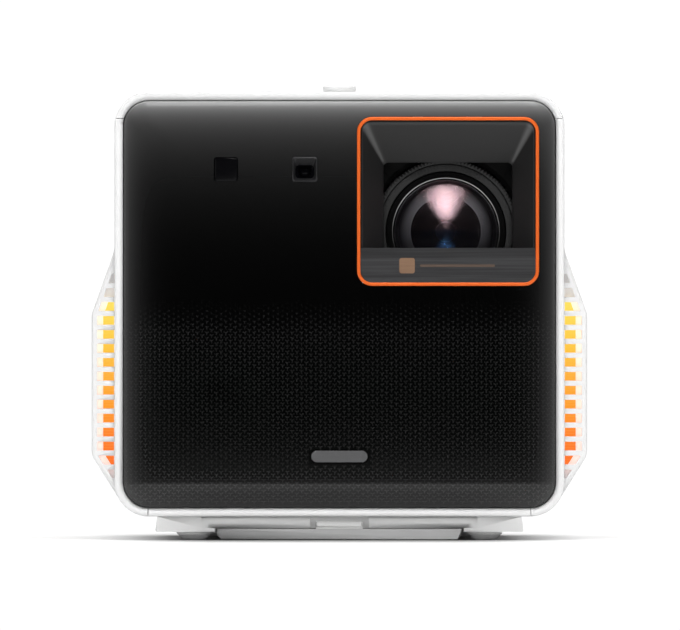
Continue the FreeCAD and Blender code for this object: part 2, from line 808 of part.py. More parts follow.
def base_plinth():
    top_half = half - plinth_inset
    low_half = top_half + plinth_flare
    points = [(-top_half, shell_lift), (-low_half, plinth_low), (low_half, plinth_low),
              (top_half, shell_lift)]
    body = prism(points, [0, 1.0, 1.0, 0], "y", plinth_front, -plinth_front)
    edge = 2.6
    hollow = block(-top_half + edge, top_half - edge, plinth_front + 13, -plinth_front - edge,
                   shell_lift - plinth_web, shell_lift + 1)
    recess_half = stand_width / 2 + stand_side_gap
    recess = block(-recess_half, recess_half, plinth_front - 1, hinge_y + stand_thickness / 2 + 1.5,
                   plinth_low - 1, recess_top)
    cove_half = recess_half + 6
    cove_points = [(plinth_front - 1, shell_lift + 1), (plinth_front + 4.2, shell_lift + 1),
                   (plinth_front + 4.2, shell_lift - 1.2), (plinth_front, recess_top - 0.1),
                   (plinth_front - 1, 0)]
    cove = prism(cove_points, 0, "x", -cove_half, cove_half)
    notch = prism(rectangle(-lip_width / 2 - 2.5, lip_width / 2 + 2.5, recess_top - 1, shell_lift + 1),
                  0, "y",
                  plinth_front - 1, stand_front + 3)
    tools = [hollow, recess, cove, notch]
    for x, y in foot_places():
        tools.append(rod("z", x, y, 2.55, plinth_low - 1, plinth_low + 3.2))
    for x, y in mount_places():
        tools.append(rod("z", x, y, insert_radius + insert_wall, plinth_low - 1,
                         plinth_low + insert_depth))
    tools.append(rod("z", 0, tripod_y, tripod_radius + insert_wall, plinth_low - 1,
                     plinth_low + insert_depth))
    body = cut(body, tools)
    pillars = []
    for x, y in mount_places() + [(0, tripod_y)]:
        inner = (tripod_radius if x == 0 else insert_radius) + insert_wall
        pillars.append(tube("z", x, y, inner + 2, inner, shell_lift - plinth_web - 1, shell_lift)
                       .cut(rod("z", x, y, inner + 0.01, plinth_low, plinth_low + insert_depth)))
    ears = []
    ear_start = stand_width / 2 + 0.3
    radius = stand_thickness / 2
    for side in (-1, 1):
        x0, x1 = sorted((side * ear_start, side * (ear_start + hinge_ear)))
        points = rectangle(hinge_y - radius - 0.6, hinge_y + radius + 0.6, hinge_z - radius + 0.3,
                           recess_top + 0.5)
        ear = prism(points, [1.8, 1.8, 0, 0], "x", x0, x1)
        ears.append(ear)
    body = fuse([body] + ears + pillars)
    ear_end = ear_start + hinge_ear
    bores = [rod("x", hinge_y, hinge_z, hinge_pin_radius + 0.02, ear_start - 1, ear_end - 0.6),
             rod("x", hinge_y, hinge_z, hinge_pin_radius + 0.02, -ear_end + 0.6, -ear_start + 1)]
    return cut(body, bores)


def mount_inserts():
    """Brass threaded inserts: four for a ceiling bracket and one for a tripod."""
    low = plinth_low + 0.2
    high = plinth_low + insert_depth
    pieces = [tube("z", x, y, insert_radius + insert_wall, insert_radius, low, high) for x,
              y in mount_places()]
    pieces.append(tube("z", 0, tripod_y, tripod_radius + insert_wall, tripod_radius, low, high))
    return Part.Compound(pieces)


def tilt_stand():
    w = stand_width / 2
    top = stand_clear + stand_thickness
    chamfer = 1.8
    points = [(-w, top), (-w, stand_clear + chamfer), (-w + chamfer, stand_clear), (w - chamfer,
                                                                                    stand_clear),
              (w, stand_clear + chamfer), (w, top)]
    plate = prism(points, 0, "y", stand_front, hinge_y)
    barrel = rod("x", hinge_y, hinge_z, stand_thickness / 2, -w, w)
    pockets = []
    for i in range(3):
        x0 = -w + 8 + i * (stand_width - 8) / 3
        x1 = x0 + (stand_width - 8) / 3 - 8
        pockets.append(prism(rectangle(x0, x1, stand_front + 12, hinge_y - 12), 4, "z", stand_clear - 1,
                             stand_clear + 1.6))
    bores = [rod("x", hinge_y, hinge_z, hinge_pin_radius + hinge_play, w - 8, w + 1),
             rod("x", hinge_y, hinge_z, hinge_pin_radius + hinge_play, -w - 1, -w + 8)]
    return cut(fuse([plate, barrel]), pockets + bores)


def stand_hinge_pins():
    w = stand_width / 2
    end = w + 0.3 + hinge_ear - 0.8
    return both_sides(rod("x", hinge_y, hinge_z, hinge_pin_radius, w - 7.5, end))


def stand_pull_lip():
    top = stand_clear + stand_thickness
    y0 = stand_front - lip_reach
    points = [(stand_front + 2.2, top), (stand_front + 2.2, top + lip_height - 0.6),
              (stand_front + 1.6, top + lip_height),
              (y0 + 0.9, top + lip_height), (y0, top + lip_height - 0.7), (y0, top + 1.3),
              (y0 + 0.5, top + 0.9),
              (stand_front, top + 0.9), (stand_front, top)]
    lip = prism(points, 0, "x", -lip_width / 2, lip_width / 2)
    bevel = 1.4
    ends = []
    for side in (-1, 1):
        x = side * lip_width / 2
        ends.append(prism([(x, y0 - 1), (x - side * bevel, y0 - 1), (x, y0 + bevel)], 0, "z", top,
                          top + lip_height + 1))
    return cut(lip, ends)


def foot_collars():
    z1 = plinth_low
    z0 = z1 - foot_collar_height
    profile = [(0, z0), (foot_pad_radius + 0.1, z0), (foot_radius, z1 - 0.2), (foot_radius, z1),
               (2.5, z1),
               (2.5, z1 + 3.0), (0, z1 + 3.0)]
    pieces = []
    for x, y in foot_places():
        face = Part.Face(Part.makePolygon([V(x + r, y, z) for r, z in profile + profile[:1]]))
        pieces.append(face.revolve(V(x, y, 0), V(0, 0, 1), 360))
    return Part.Compound(pieces)


def foot_pads():
    z1 = plinth_low - foot_collar_height
    pieces = []
    for x, y in foot_places():
        start, end = V(x + foot_contact_radius, y, 0), V(x + foot_pad_radius, y, z1)
        middle = V(x + (foot_contact_radius + foot_pad_radius) / 2 + 0.25, y, z1 / 2 - 0.3)
        wire = Part.Wire([
            Part.LineSegment(V(x, y, 0), start).toShape(),
            Part.Arc(start, middle, end).toShape(),
            Part.LineSegment(end, V(x, y, z1)).toShape(),
            Part.LineSegment(V(x, y, z1), V(x, y, 0)).toShape(),
        ])
        pieces.append(Part.Face(wire).revolve(V(x, y, 0), V(0, 0, 1), 360))
    return Part.Compound(pieces)


# ---- controls ------------------------------------------------------------------------------------
def push_button(x):
    """A round button: cap, flange under the cover that keeps it in, and a stem over its switch."""
    under = shell_top - shell_wall
    cap = rod("z", x, control_y, button_radius, under - 1.5, shell_top + button_proud)
    cap = rounded(cap, 0.4, lambda c: c.z > shell_top)
    flange = rod("z", x, control_y, button_radius + 1.25, under - 1.8, under - fit_gap)
    stem = rod("z", x, control_y, 1.5, switch_top() + button_travel + 0.05, under - 1.5)
    return fuse([cap, flange, stem])


def switch_top():
    return shell_top - control_board_drop + 1.6 + 3.7


def control_board():
    low = shell_top - control_board_drop
    board = prism(rectangle(-control_pitch - 13, control_pitch + 13, control_y - 13, control_y + 13),
                  1.5, "z", low,
                  low + 1.6)
    holes = [rod("z", x, control_y + dy, 1.1, low - 1, low + 3)
             for x in (-control_pitch - 9, control_pitch + 9) for dy in (-9, 9)]
    return cut(board, holes)


def button_switches():
    low = shell_top - control_board_drop + 1.6
    pieces = []
    for x in (-control_pitch, control_pitch):
        body = block(x - 3, x + 3, control_y - 3, control_y + 3, low, low + 2.5)
        pieces.append(fuse([body, rod("z", x, control_y, 1.7, low + 2.4, switch_top())]))
    return Part.Compound(pieces)


stick_pivot = shell_top - stick_pivot_drop
gimbal_outer = 6.2
gimbal_inner = 4.4
gimbal_half = 1.2
trunnion = 0.8
trunnion_play = 0.05


def stick_base():
    low = shell_top - control_board_drop + 1.6
    top = stick_pivot + gimbal_half + 0.4
    side = 8.6
    body = prism(rectangle(-side, side, control_y - side, control_y + side), 1.5, "z", low, top)
    cavity = rod("z", 0, control_y, gimbal_outer + 0.6, low + 1.2, top + 1)
    bores = rod("x", control_y, stick_pivot, trunnion + trunnion_play, -side + 0.6, side - 0.6)
    return cut(body, [cavity, bores])


def stick_gimbal():
    ring = tube("z", 0, control_y, gimbal_outer, gimbal_inner, stick_pivot - gimbal_half,
                stick_pivot + gimbal_half)
    pins = []
    for side in (-1, 1):
        x0, x1 = sorted((side * (gimbal_outer - 0.5), side * (gimbal_outer + 1.5)))
        pins.append(rod("x", control_y, stick_pivot, trunnion, x0, x1))
    bore = rod("y", 0, stick_pivot, trunnion + trunnion_play, control_y - 8, control_y + 8)
    return cut(fuse([ring] + pins), [bore])


def stick_stem():
    post = rod("z", 0, control_y, 2.3, stick_pivot - 2.2, stick_pivot + 6.0)
    cross = rod("y", 0, stick_pivot, trunnion, control_y - gimbal_outer + 0.4,
                control_y + gimbal_outer - 0.4)
    return fuse([post, cross])


def stick_knob():
    low = shell_top + stick_gap
    top = shell_top + stick_proud
    r = stick_radius
    profile = [(0, top - 0.8), (r - 1.9, top - 0.1), (r - 1.3, top), (r - 0.5, top), (r, top - 0.5),
               (r, low + 0.3),
               (r - 0.4, low), (3.6, low), (3.6, stick_pivot + 2.8), (2.36, stick_pivot + 2.8),
               (2.36, stick_pivot + 6.6), (0, stick_pivot + 6.6)]
    face = Part.Face(Part.makePolygon([V(x, control_y, z) for x, z in profile + profile[:1]]))
    return face.revolve(V(0, control_y, 0), V(0, 0, 1), 360)


# ---- lens and focus drive ------------------------------------------------------------------------
lens_face = hood_back + lens_setback
front_sag = front_lens_curve - math.sqrt(front_lens_curve ** 2 - front_lens_radius ** 2)
back_sag = front_lens_back_curve - math.sqrt(front_lens_back_curve ** 2 - front_lens_radius ** 2)
lens_edge_front = lens_face + front_sag
lens_edge_back = lens_face + front_lens_middle + back_sag
cell_inner = front_lens_radius + 0.1
cell_outer = cell_inner + cell_wall
guide_inner = cell_outer + fit_gap
guide_outer = guide_inner + barrel_wall
ring_inner = guide_outer + fit_gap
ring_outer = ring_inner + focus_ring_wall
cell_front = lens_edge_front - 3.6
focus_front = cell_front - 1.2
barrel_front = focus_front + 6.0
cell_back = lens_edge_back + 19.0
gear_start = focus_front + 22.0
barrel_flange = cell_back + 5.0
engine_front = barrel_flange + 16.0
gear_pitch_radius = focus_teeth * gear_module / 2
pinion_pitch_radius = pinion_teeth * gear_module / 2
pinion_x = lens_x - gear_pitch_radius - pinion_pitch_radius
tail_inner = 18.0


def sphere_sag(radius, curve):
    return curve - math.sqrt(curve ** 2 - radius ** 2)


def front_lens():
    half_r = front_lens_radius / 2
    profile = [(0, lens_face), (front_lens_radius, lens_edge_front), (front_lens_radius,
                                                                      lens_edge_back),
               (0, lens_face + front_lens_middle)]
    arcs = {0: (half_r, lens_face + sphere_sag(half_r, front_lens_curve)),
            2: (half_r, lens_face + front_lens_middle + sphere_sag(half_r, front_lens_back_curve))}
    return turned("y", lens_x, lens_z, profile, arcs)


def front_lens_cell():
    lip = front_lens_radius - 0.6
    tube_part = tube("y", lens_x, lens_z, cell_outer, cell_inner, cell_front, cell_back)
    lip_part = tube("y", lens_x, lens_z, cell_inner + 0.5, lip, cell_front, cell_front + 2.6)
    return fuse([tube_part, lip_part])


def inner_lens_cell():
    seat = lens_edge_back
    mouth = cell_inner - inner_cell_rim
    profile = [(mouth - inner_cell_flare, seat + 1.4), (mouth, seat), (cell_inner, seat),
               (cell_inner, seat + 11),
               (second_lens_radius, seat + 11), (second_lens_radius, seat + 6.8)]
    return turned("y", lens_x, lens_z, profile)


second_face = lens_edge_back + 1.8
second_edge = second_face + sphere_sag(second_lens_radius, second_lens_curve)


def second_lens():
    half_r = second_lens_radius / 2
    back_y = second_edge + 3.0
    profile = [(0, second_face), (second_lens_radius, second_edge), (second_lens_radius, back_y),
               (0, back_y)]
    arcs = {0: (half_r, second_face + sphere_sag(half_r, second_lens_curve))}
    return turned("y", lens_x, lens_z, profile, arcs)


def lens_barrel():
    guide = tube("y", lens_x, lens_z, guide_outer, guide_inner, barrel_front, barrel_flange)
    flange = tube("y", lens_x, lens_z, ring_outer - 1, tail_inner, barrel_flange, barrel_flange + 4)
    stop = tube("y", lens_x, lens_z, tail_inner + 1, stop_radius, barrel_flange + 1,
                barrel_flange + 2.2)
    tail = tube("y", lens_x, lens_z, tail_inner + 2, tail_inner, barrel_flange + 3, engine_front)
    return fuse([guide, flange, stop, tail])


def rear_lenses():
    first = barrel_flange + 5.0
    second = first + 5.6
    pieces = []
    for start in (first, second):
        profile = [(0, start), (tail_inner, start + 2.2), (tail_inner, start + 4.2), (0, start + 4.2)]
        pieces.append(turned("y", lens_x, lens_z, profile, {0: (tail_inner / 2, start + 0.55)}))
    return Part.Compound(pieces)


def gear(middle_x, middle_z, teeth, bore, low, high, turn, addendum):
    """A spur gear about the lens axis direction, with straight-sided teeth and room for backlash."""
    pitch_radius = teeth * gear_module / 2
    root = pitch_radius - 1.25 * gear_module
    tip = pitch_radius + addendum
    step = 2 * math.pi / teeth
    root_half, tip_half = 0.27 * step, 0.11 * step
    points = []
    for i in range(teeth):
        angle = turn + i * step
        for radius, shift in ((root, -root_half), (tip, -tip_half), (tip, tip_half), (root, root_half)):
            a = angle + shift
            points.append((middle_x + radius * math.cos(a), middle_z + radius * math.sin(a)))
    wheel = prism(points, 0, "y", low, high)
    return wheel.cut(rod("y", middle_x, middle_z, bore, low - 1, high + 1)) if bore else wheel


def focus_ring():
    body = tube("y", lens_x, lens_z, ring_outer, ring_inner, focus_front, gear_start + gear_width + 1)
    lip = tube("y", lens_x, lens_z, ring_inner + 1, cell_outer + 0.4, focus_front, barrel_front - 2)
    teeth = gear(lens_x, lens_z, focus_teeth, ring_inner + 1, gear_start, gear_start + gear_width, 0,
                 gear_module - gear_play)
    groove = tube("y", lens_x, lens_z, ring_outer - 2.0, ring_outer - 2.6, focus_front - 1,
                  focus_front + 0.6)
    return fuse([body, lip, teeth]).cut(groove)


def focus_pinion():
    half_tooth = math.pi / pinion_teeth
    wheel = gear(pinion_x, lens_z, pinion_teeth, 0, gear_start - 0.5, gear_start + gear_width + 0.5,
                 half_tooth,
                 gear_module - gear_play)
    shaft = rod("y", pinion_x, lens_z, 1.0, gear_start - 1.5, motor_front + 2)
    return fuse([wheel, shaft])


motor_front = gear_start + gear_width + 1.5
motor_radius = 7.6


def focus_motor():
    body = rod("y", pinion_x, lens_z, motor_radius, motor_front, barrel_flange + 12)
    bracket = prism(rectangle(pinion_x - 9, lens_x - 22, lens_z - 6, lens_z + 6), 2, "y",
                    barrel_flange + 4,
                    barrel_flange + 6)
    bracket = bracket.cut(rod("y", lens_x, lens_z, tail_inner + 2.1, barrel_flange, barrel_flange + 8))
    bore = rod("y", pinion_x, lens_z, 1.0 + 0.05, motor_front - 1, motor_front + 3)
    return cut(fuse([body, bracket]), [bore])


def lens_shroud():
    """A dark plate round the focus ring that hides the inside of the case, on four legs.

    The plate laps over the ring's teeth behind it, with a shallow step round its opening.
    """
    y = focus_front + 2.0
    reach_x, reach_z = 35.5, 35.0
    points = rectangle(lens_x - reach_x, lens_x + reach_x, lens_z - reach_z, lens_z + reach_z)
    plate = prism(points, 3, "y", y, y + 1.6)
    opening = rod("y", lens_x, lens_z, ring_outer + shroud_play, y - 1, y + 3)
    step = rod("y", lens_x, lens_z, ring_outer + shroud_gap, y - 1, y + shroud_step)
    hole = fuse([opening, step])
    legs = []
    for sx in (-1, 1):
        for sz in (-1, 1):
            legs.append(rod("y", lens_x + sx * (reach_x - 4), lens_z + sz * (reach_z - 4), 2.2, y + 1,
                            engine_front))
    return fuse([plate.cut(hole)] + legs)


# ---- light engine --------------------------------------------------------------------------------
engine_back = engine_front + 56.0
arm_left = lens_x - engine_half_x - 52.0
arm_front = engine_front + 10.0
arm_back = engine_back - 8.0


def light_engine():
    main = block(lens_x - engine_half_x, lens_x + engine_half_x, engine_front, engine_back,
                 lens_z - engine_half_z,
                 lens_z + engine_half_z)
    middle = (engine_front + engine_back) / 2
    main = rounded(main, 3,
                   lambda c: abs(abs(c.x - lens_x) - engine_half_x) < 0.01 and abs(c.y - middle) < 1)
    inside = block(lens_x - engine_half_x + 3, lens_x + engine_half_x - 3, engine_front + 3,
                   engine_back - 3,
                   lens_z - engine_half_z + 3, lens_z + engine_half_z - 3)
    arm = block(arm_left, lens_x - engine_half_x, arm_front, arm_back, lens_z - 22, lens_z + 22)
    arm_inside = block(arm_left + 3, lens_x - engine_half_x + 4, arm_front + 3, arm_back - 3,
                       lens_z - 19, lens_z + 19)
    light_path = rod("y", lens_x, lens_z, 17.0, engine_front - 1, engine_front + 4)
    dmd_hole = block(lens_x - 12, lens_x + 12, engine_back - 4, engine_back + 1, lens_z - 8, lens_z + 8)
    led_holes = [block(arm_left - 1, arm_left + 4, -6 + arm_middle(), 6 + arm_middle(), lens_z - 6,
                       lens_z + 6),
                 block(arm_left + 14, arm_left + 26, arm_back - 4, arm_back + 1, lens_z - 6,
                       lens_z + 6),
                 block(arm_left + 14, arm_left + 26, arm_front - 1, arm_front + 4, lens_z - 6,
                       lens_z + 6)]
    return cut(main.fuse(arm), [inside, arm_inside, light_path, dmd_hole] + led_holes).removeSplitter()


def arm_middle():
    return (arm_front + arm_back) / 2


def led_modules():
    """Red, green and blue light sources on their copper plates."""
    mid = arm_middle()
    red = block(arm_left - 5, arm_left, mid - 13, mid + 13, lens_z - 13, lens_z + 13)
    green = block(arm_left + 7, arm_left + 33, arm_back, arm_back + 5, lens_z - 13, lens_z + 13)
    blue = block(arm_left + 7, arm_left + 33, arm_front - 5, arm_front, lens_z - 13, lens_z + 13)
    return Part.Compound([red, green, blue])


pipe_radius = 3.0
fins_right = arm_left - 9.0
fins_left = -inner_half + 4.0


def pipe_places():
    """(Y, Z, right-hand end) of each heat pipe."""
    mid = arm_middle()
    return [(arm_front - 5 - pipe_radius, lens_z, arm_left + 33), (mid, lens_z - 8, arm_left - 5),
            (mid, lens_z + 8, arm_left - 5), (arm_back + 5 + pipe_radius, lens_z, arm_left + 33)]


def led_heatsink():
    """Thin aluminium plates brazed on to the heat pipes that lead from the light sources."""
    mid = arm_middle()
    count = max(int((fins_right - fins_left) / 4.2), 2)
    pitch = (fins_right - fins_left - 0.8) / (count - 1)
    parts = [rod("x", y, z, pipe_radius, fins_left - 2, end) for y, z, end in pipe_places()]
    for i in range(count):
        x = fins_left + i * pitch
        parts.append(prism(rectangle(mid - 40, mid + 40, lens_z - 25, lens_z + 31), 2, "x", x, x + 0.8))
    return fuse(parts)


def dmd_board():
    board = block(lens_x - 24, lens_x + 24, engine_back, engine_back + 1.6, lens_z - 24, lens_z + 24)
    return board.cut(block(lens_x - 8, lens_x + 8, engine_back - 1, engine_back + 3, lens_z - 8,
                           lens_z + 8))


def dmd_heatsink():
    y = engine_back + 1.6
    base = block(lens_x - 20, lens_x + 20, y, y + 3, lens_z - 20, lens_z + 20)
    fins = [block(x, x + 1.2, y + 2.9, y + 15, lens_z - 20, lens_z + 20) for x in
            [lens_x - 20 + i * 4.85 for i in range(9)]]
    stud = block(lens_x - 7.5, lens_x + 7.5, y - 1.6, y + 0.1, lens_z - 7.5, lens_z + 7.5)
    return fuse([base, stud] + fins)


# ---- chassis, boards and sockets -----------------------------------------------------------------
tray_z = shell_lift + shell_wall + tray_lift
board_front = rear_face - 18.0
board_top = shell_lift + 84.0


def chassis():
    """A pressed tray with an upright for the main board and posts for the light engine."""
    x1 = half - 16
    tray = prism(rectangle(-x1, x1, front + 20, board_front - 1.6), 4, "z", tray_z, tray_z + 1.5)
    upright = block(-x1, x1, board_front - 3.2, board_front - 1.8, tray_z + 0.5, board_top)
    posts = []
    for sx in (-1, 1):
        for y in (engine_front + 8, engine_back - 8):
            posts.append(rod("z", lens_x + sx * (engine_half_x - 18), y, 4.0, tray_z + 1,
                             lens_z - engine_half_z))
    posts.append(rod("z", arm_left + 14, arm_middle(), 4.0, tray_z + 1, lens_z - 22))
    for sx in (-1, 1):
        for z in (tray_z + 8, board_top - 6):
            posts.append(rod("y", sx * (half - 26), z, 2.4, board_front - 2.5, board_front))
    holes = [rod("z", x, y, 1.6, tray_z - 1, tray_z + 3) for x, y in tray_points()]
    holes += [prism(rectangle(-30, 10, front + 34, front + 74), 4, "z", tray_z - 1, tray_z + 3),
              prism(rectangle(-30, 10, 20, 60), 4, "z", tray_z - 1, tray_z + 3)]
    return cut(fuse([tray, upright] + posts), holes)


def main_board():
    x1 = half - 20
    board = block(-x1, x1, board_front, board_front + 1.6, tray_z + 3, board_top)
    chips = [block(-40, -16, board_front + 1.5, board_front + 4, 64, 88),
             block(-70, -58, board_front + 1.5, board_front + 3, 60, 78),
             block(0, 14, board_front + 1.5, board_front + 3, 66, 80),
             block(30, 50, board_front + 1.5, board_front + 8, 62, 76)]
    return fuse([board] + chips)


def socket(name, width, height, tongue):
    """A rectangular socket: metal shell, open at the back of the projector, with a tongue inside."""
    x = socket_places()[name]
    z = shell_lift + socket_rise
    y1 = rear_face - 0.4
    y0 = y1 - socket_depth
    w, h = width / 2 + socket_wall, height / 2 + socket_wall
    corner = 0.7
    outer = prism(rectangle(x - w, x + w, z - h, z + h), corner, "y", y0, y1)
    inner = prism(rectangle(x - width / 2, x + width / 2, z - height / 2, z + height / 2), 0.3, "y",
                  y0 + 2, y1 + 1)
    blade = block(x - width * 0.4, x + width * 0.4, y0 + 1, y1 - 1.2, z - tongue / 2, z + tongue / 2)
    foot = block(x - w + 0.5, x + w - 0.5, board_front + 1.6, y0 + 0.5, z - h, z + h)
    return fuse([outer.cut(inner), blade, foot])


def hdmi_sockets():
    return Part.Compound([socket(n, hdmi_width, hdmi_height, 1.1) for n in ("hdmi_1", "hdmi_2")])


def usb_sockets():
    wide = socket("usb_a", usb_a_width, usb_a_height, 1.8)
    narrow = socket("usb_c", usb_c_width, usb_c_height, 0.7)
    return Part.Compound([wide, narrow])


def round_socket(name, bore, collar, pin):
    x = socket_places()[name]
    z = shell_lift + socket_rise
    y1 = rear_face - 0.4
    y0 = y1 - socket_depth
    side = collar + 1.5
    body = fuse([rod("y", x, z, collar, y0, y1),
                 block(x - side, x + side, board_front + 1.6, rear_face - panel_wall - 0.3, z - side,
                       z + side)])
    body = body.cut(rod("y", x, z, bore, y1 - 12, y1 + 1))
    if pin:
        body = fuse([body, rod("y", x, z, pin, y1 - 12.5, y1 - 2)])
    return body


def audio_jack():
    return round_socket("audio", audio_radius, audio_radius + 2, 0)


def dc_inlet():
    return round_socket("dc", dc_radius, dc_radius + 1.8, 1.0)


# ---- fans and speakers ---------------------------------------------------------------------------
fan_out = inner_half
fan_in = inner_half - fan_depth
rotor_radius = fan_size / 2 - 3.2
hub_radius = 13.0


def fan_frame():
    r = fan_size / 2
    points = rectangle(fan_y - r, fan_y + r, fan_z - r, fan_z + r)
    frame = prism(points, 4, "x", fan_in, fan_out)
    frame = frame.cut(rod("x", fan_y, fan_z, rotor_radius + 0.8, fan_in - 1, fan_out + 1))
    arms = []
    for i in range(3):
        spoke = block(fan_in, fan_in + 2, fan_y - 1.6, fan_y + 1.6, fan_z, fan_z + rotor_radius + 2)
        spoke.rotate(V(0, fan_y, fan_z), V(1, 0, 0), 120 * i + 20)
        arms.append(spoke)
    cup = rod("x", fan_y, fan_z, hub_radius, fan_in, fan_in + 2)
    spindle = rod("x", fan_y, fan_z, 1.5, fan_in + 1.5, fan_in + 9)
    holes = []
    for sy in (-1, 1):
        for sz in (-1, 1):
            holes.append(rod("x", fan_y + sy * (r - 4.2), fan_z + sz * (r - 4.2), 1.8, fan_in - 1,
                             fan_out + 1))
    return cut(fuse([frame, cup, spindle] + arms), holes)


def fan_rotor():
    x0, x1 = fan_in + 2.8, fan_out - 1.0
    hub = rod("x", fan_y, fan_z, hub_radius, x0, x1)
    hub = rounded(hub, 1.5, lambda c: c.x > x1 - 0.01)
    blades = []
    for i in range(fan_blades):
        blade = block(-5.8, 5.8, -0.7, 0.7, hub_radius - 1.5, rotor_radius)
        blade.rotate(V(0, 0, 0), V(0, 0, 1), 42)
        blade.translate(V((x0 + x1) / 2, fan_y, fan_z))
        blade.rotate(V(0, fan_y, fan_z), V(1, 0, 0), 360.0 / fan_blades * i)
        blades.append(blade)
    rotor = fuse([hub] + blades).common(rod("x", fan_y, fan_z, rotor_radius, x0, x1))
    return rotor.cut(rod("x", fan_y, fan_z, 1.5 + 0.05, x0 - 1, fan_in + 9.5))


def speaker_parts():
    """Frame, magnet and cone of the right speaker, which fires out through the wing."""
    x1 = inner_half
    r = speaker_radius
    z = fan_z
    y = speaker_y
    frame = turned("x", y, z, [(r - 2.6, x1), (r, x1), (r, x1 - 2), (r - 3, x1 - 2.6), (14.0, x1 - 12),
                               (14.0, x1 - 14),
                               (11.5, x1 - 14), (11.5, x1 - 11.6), (r - 6, x1 - 2.6), (r - 6, x1 - 1.6),
                               (r - 2.6, x1 - 1.6)])
    windows = []
    for i in range(4):
        window = block(x1 - 10.5, x1 - 4.5, y - 4, y + 4, z + 10, z + 30)
        window.rotate(V(0, y, z), V(1, 0, 0), 90 * i + 45)
        windows.append(window)
    frame = cut(frame, windows)
    magnet = turned("x", y, z, [(7.2, x1 - 14), (16.0, x1 - 14), (16.0, x1 - speaker_depth),
                                (0, x1 - speaker_depth),
                                (0, x1 - speaker_depth + 3), (7.2, x1 - speaker_depth + 3)])
    cone = turned("x", y, z, [(r - 2.9, x1 - 1.6), (r - 2.9, x1 - 1.1), (r - 4.2, x1 - 0.6),
                              (r - 5.6, x1 - 1.1),
                              (r - 6.4, x1 - 1.0), (6.6, x1 - 7.6), (0, x1 - 5.6), (0, x1 - 6.4),
                              (5.6, x1 - 8.6),
                              (5.6, x1 - 17), (6.6, x1 - 17), (6.6, x1 - 9.2), (r - 6.4, x1 - 1.6)])
    return frame, magnet, cone


# ---- all pieces ----------------------------------------------------------------------------------
def pieces():
    right_cover = right_side_cover()
    rotor = fan_rotor()
    frame, magnet, cone = speaker_parts()
    return {
        "top_cover": top_cover(),
        "right_side_cover": right_cover,
        "left_side_cover": mirrored(right_cover),
        "base_cover": base_cover(),
        "front_panel": front_panel(),
        "rear_panel": rear_panel(),
        "rear_screws": rear_screws(),
        "lens_ring": lens_ring(),
        "lens_hood": lens_hood(),
        "trim_strip": trim_strip(),
        "blank_badges": badges(),
        "sensor_window": sensor_window(),
        "camera_bezel": camera_bezel(),
        "camera_lens": camera_lens(),
        "light_bars": both_sides(light_bar()),
        "light_bar_holders": both_sides(light_holder()),
        "vent_meshes": both_sides(vent_mesh()),
        "base_plinth": base_plinth(),
        "mount_inserts": mount_inserts(),
        "tilt_stand": tilt_stand(),
        "stand_pull_lip": stand_pull_lip(),
        "stand_hinge_pins": stand_hinge_pins(),
        "foot_collars": foot_collars(),
        "foot_pads": foot_pads(),
        "power_button": push_button(-control_pitch),
        "mode_button": push_button(control_pitch),
        "control_board": control_board(),
        "button_switches": button_switches(),
        "joystick_base": stick_base(),
        "joystick_gimbal": stick_gimbal(),
        "joystick_stem": stick_stem(),
        "joystick_knob": stick_knob(),
        "front_lens": front_lens(),
        "front_lens_cell": front_lens_cell(),
        "inner_lens_cell": inner_lens_cell(),
        "second_lens": second_lens(),
        "lens_barrel": lens_barrel(),
        "rear_lenses": rear_lenses(),
        "focus_ring": focus_ring(),
        "focus_pinion": focus_pinion(),
        "focus_motor": focus_motor(),
        "lens_shroud": lens_shroud(),
        "light_engine": light_engine(),
        "led_modules": led_modules(),
        "led_heatsink": led_heatsink(),
        "dmd_board": dmd_board(),
        "dmd_heatsink": dmd_heatsink(),
        "chassis": chassis(),
        "main_board": main_board(),
        "hdmi_sockets": hdmi_sockets(),
        "usb_sockets": usb_sockets(),
        "audio_jack": audio_jack(),
        "dc_inlet": dc_inlet(),
        "fan_frames": both_sides(fan_frame()),
        "right_fan_rotor": rotor,
        "left_fan_rotor": mirrored(rotor),
        "speaker_frames": both_sides(frame),
        "speaker_magnets": both_sides(magnet),
        "speaker_cones": both_sides(cone),
    }


def main():
    os.makedirs("parts", exist_ok=True)
    for name, shape in pieces().items():
        if not shape.isValid():
            print("not valid:", name)
        shape.exportStep(os.path.join("parts", name + ".step"))
        solids = shape.Solids
        volume = sum(s.Volume for s in solids)
        print(f"{name}: {len(solids)} solid(s), {volume / 1000:.2f} cm3")


main()
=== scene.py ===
import json
import math

import bmesh
import bpy
import numpy as np
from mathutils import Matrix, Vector


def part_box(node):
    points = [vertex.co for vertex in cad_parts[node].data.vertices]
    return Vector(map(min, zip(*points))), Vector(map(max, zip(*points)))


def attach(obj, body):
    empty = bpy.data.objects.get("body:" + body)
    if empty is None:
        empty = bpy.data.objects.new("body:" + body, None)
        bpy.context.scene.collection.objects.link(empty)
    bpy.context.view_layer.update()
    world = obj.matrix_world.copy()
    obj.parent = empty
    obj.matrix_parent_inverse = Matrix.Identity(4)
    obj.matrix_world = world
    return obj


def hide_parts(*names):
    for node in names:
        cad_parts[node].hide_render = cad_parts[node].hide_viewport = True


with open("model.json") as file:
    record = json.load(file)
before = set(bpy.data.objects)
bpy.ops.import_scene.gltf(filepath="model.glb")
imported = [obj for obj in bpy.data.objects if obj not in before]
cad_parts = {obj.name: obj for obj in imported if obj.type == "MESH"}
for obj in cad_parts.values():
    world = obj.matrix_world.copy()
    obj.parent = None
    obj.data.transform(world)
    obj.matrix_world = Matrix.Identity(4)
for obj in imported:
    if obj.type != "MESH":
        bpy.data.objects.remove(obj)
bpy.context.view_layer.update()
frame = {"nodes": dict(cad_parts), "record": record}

MM = 0.001


# ---- sizes shared by several pieces, in metres -----------------------------------------------------------
def span(node):
    """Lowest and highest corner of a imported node, as arrays."""
    low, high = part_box(node)
    return np.array(low), np.array(high)


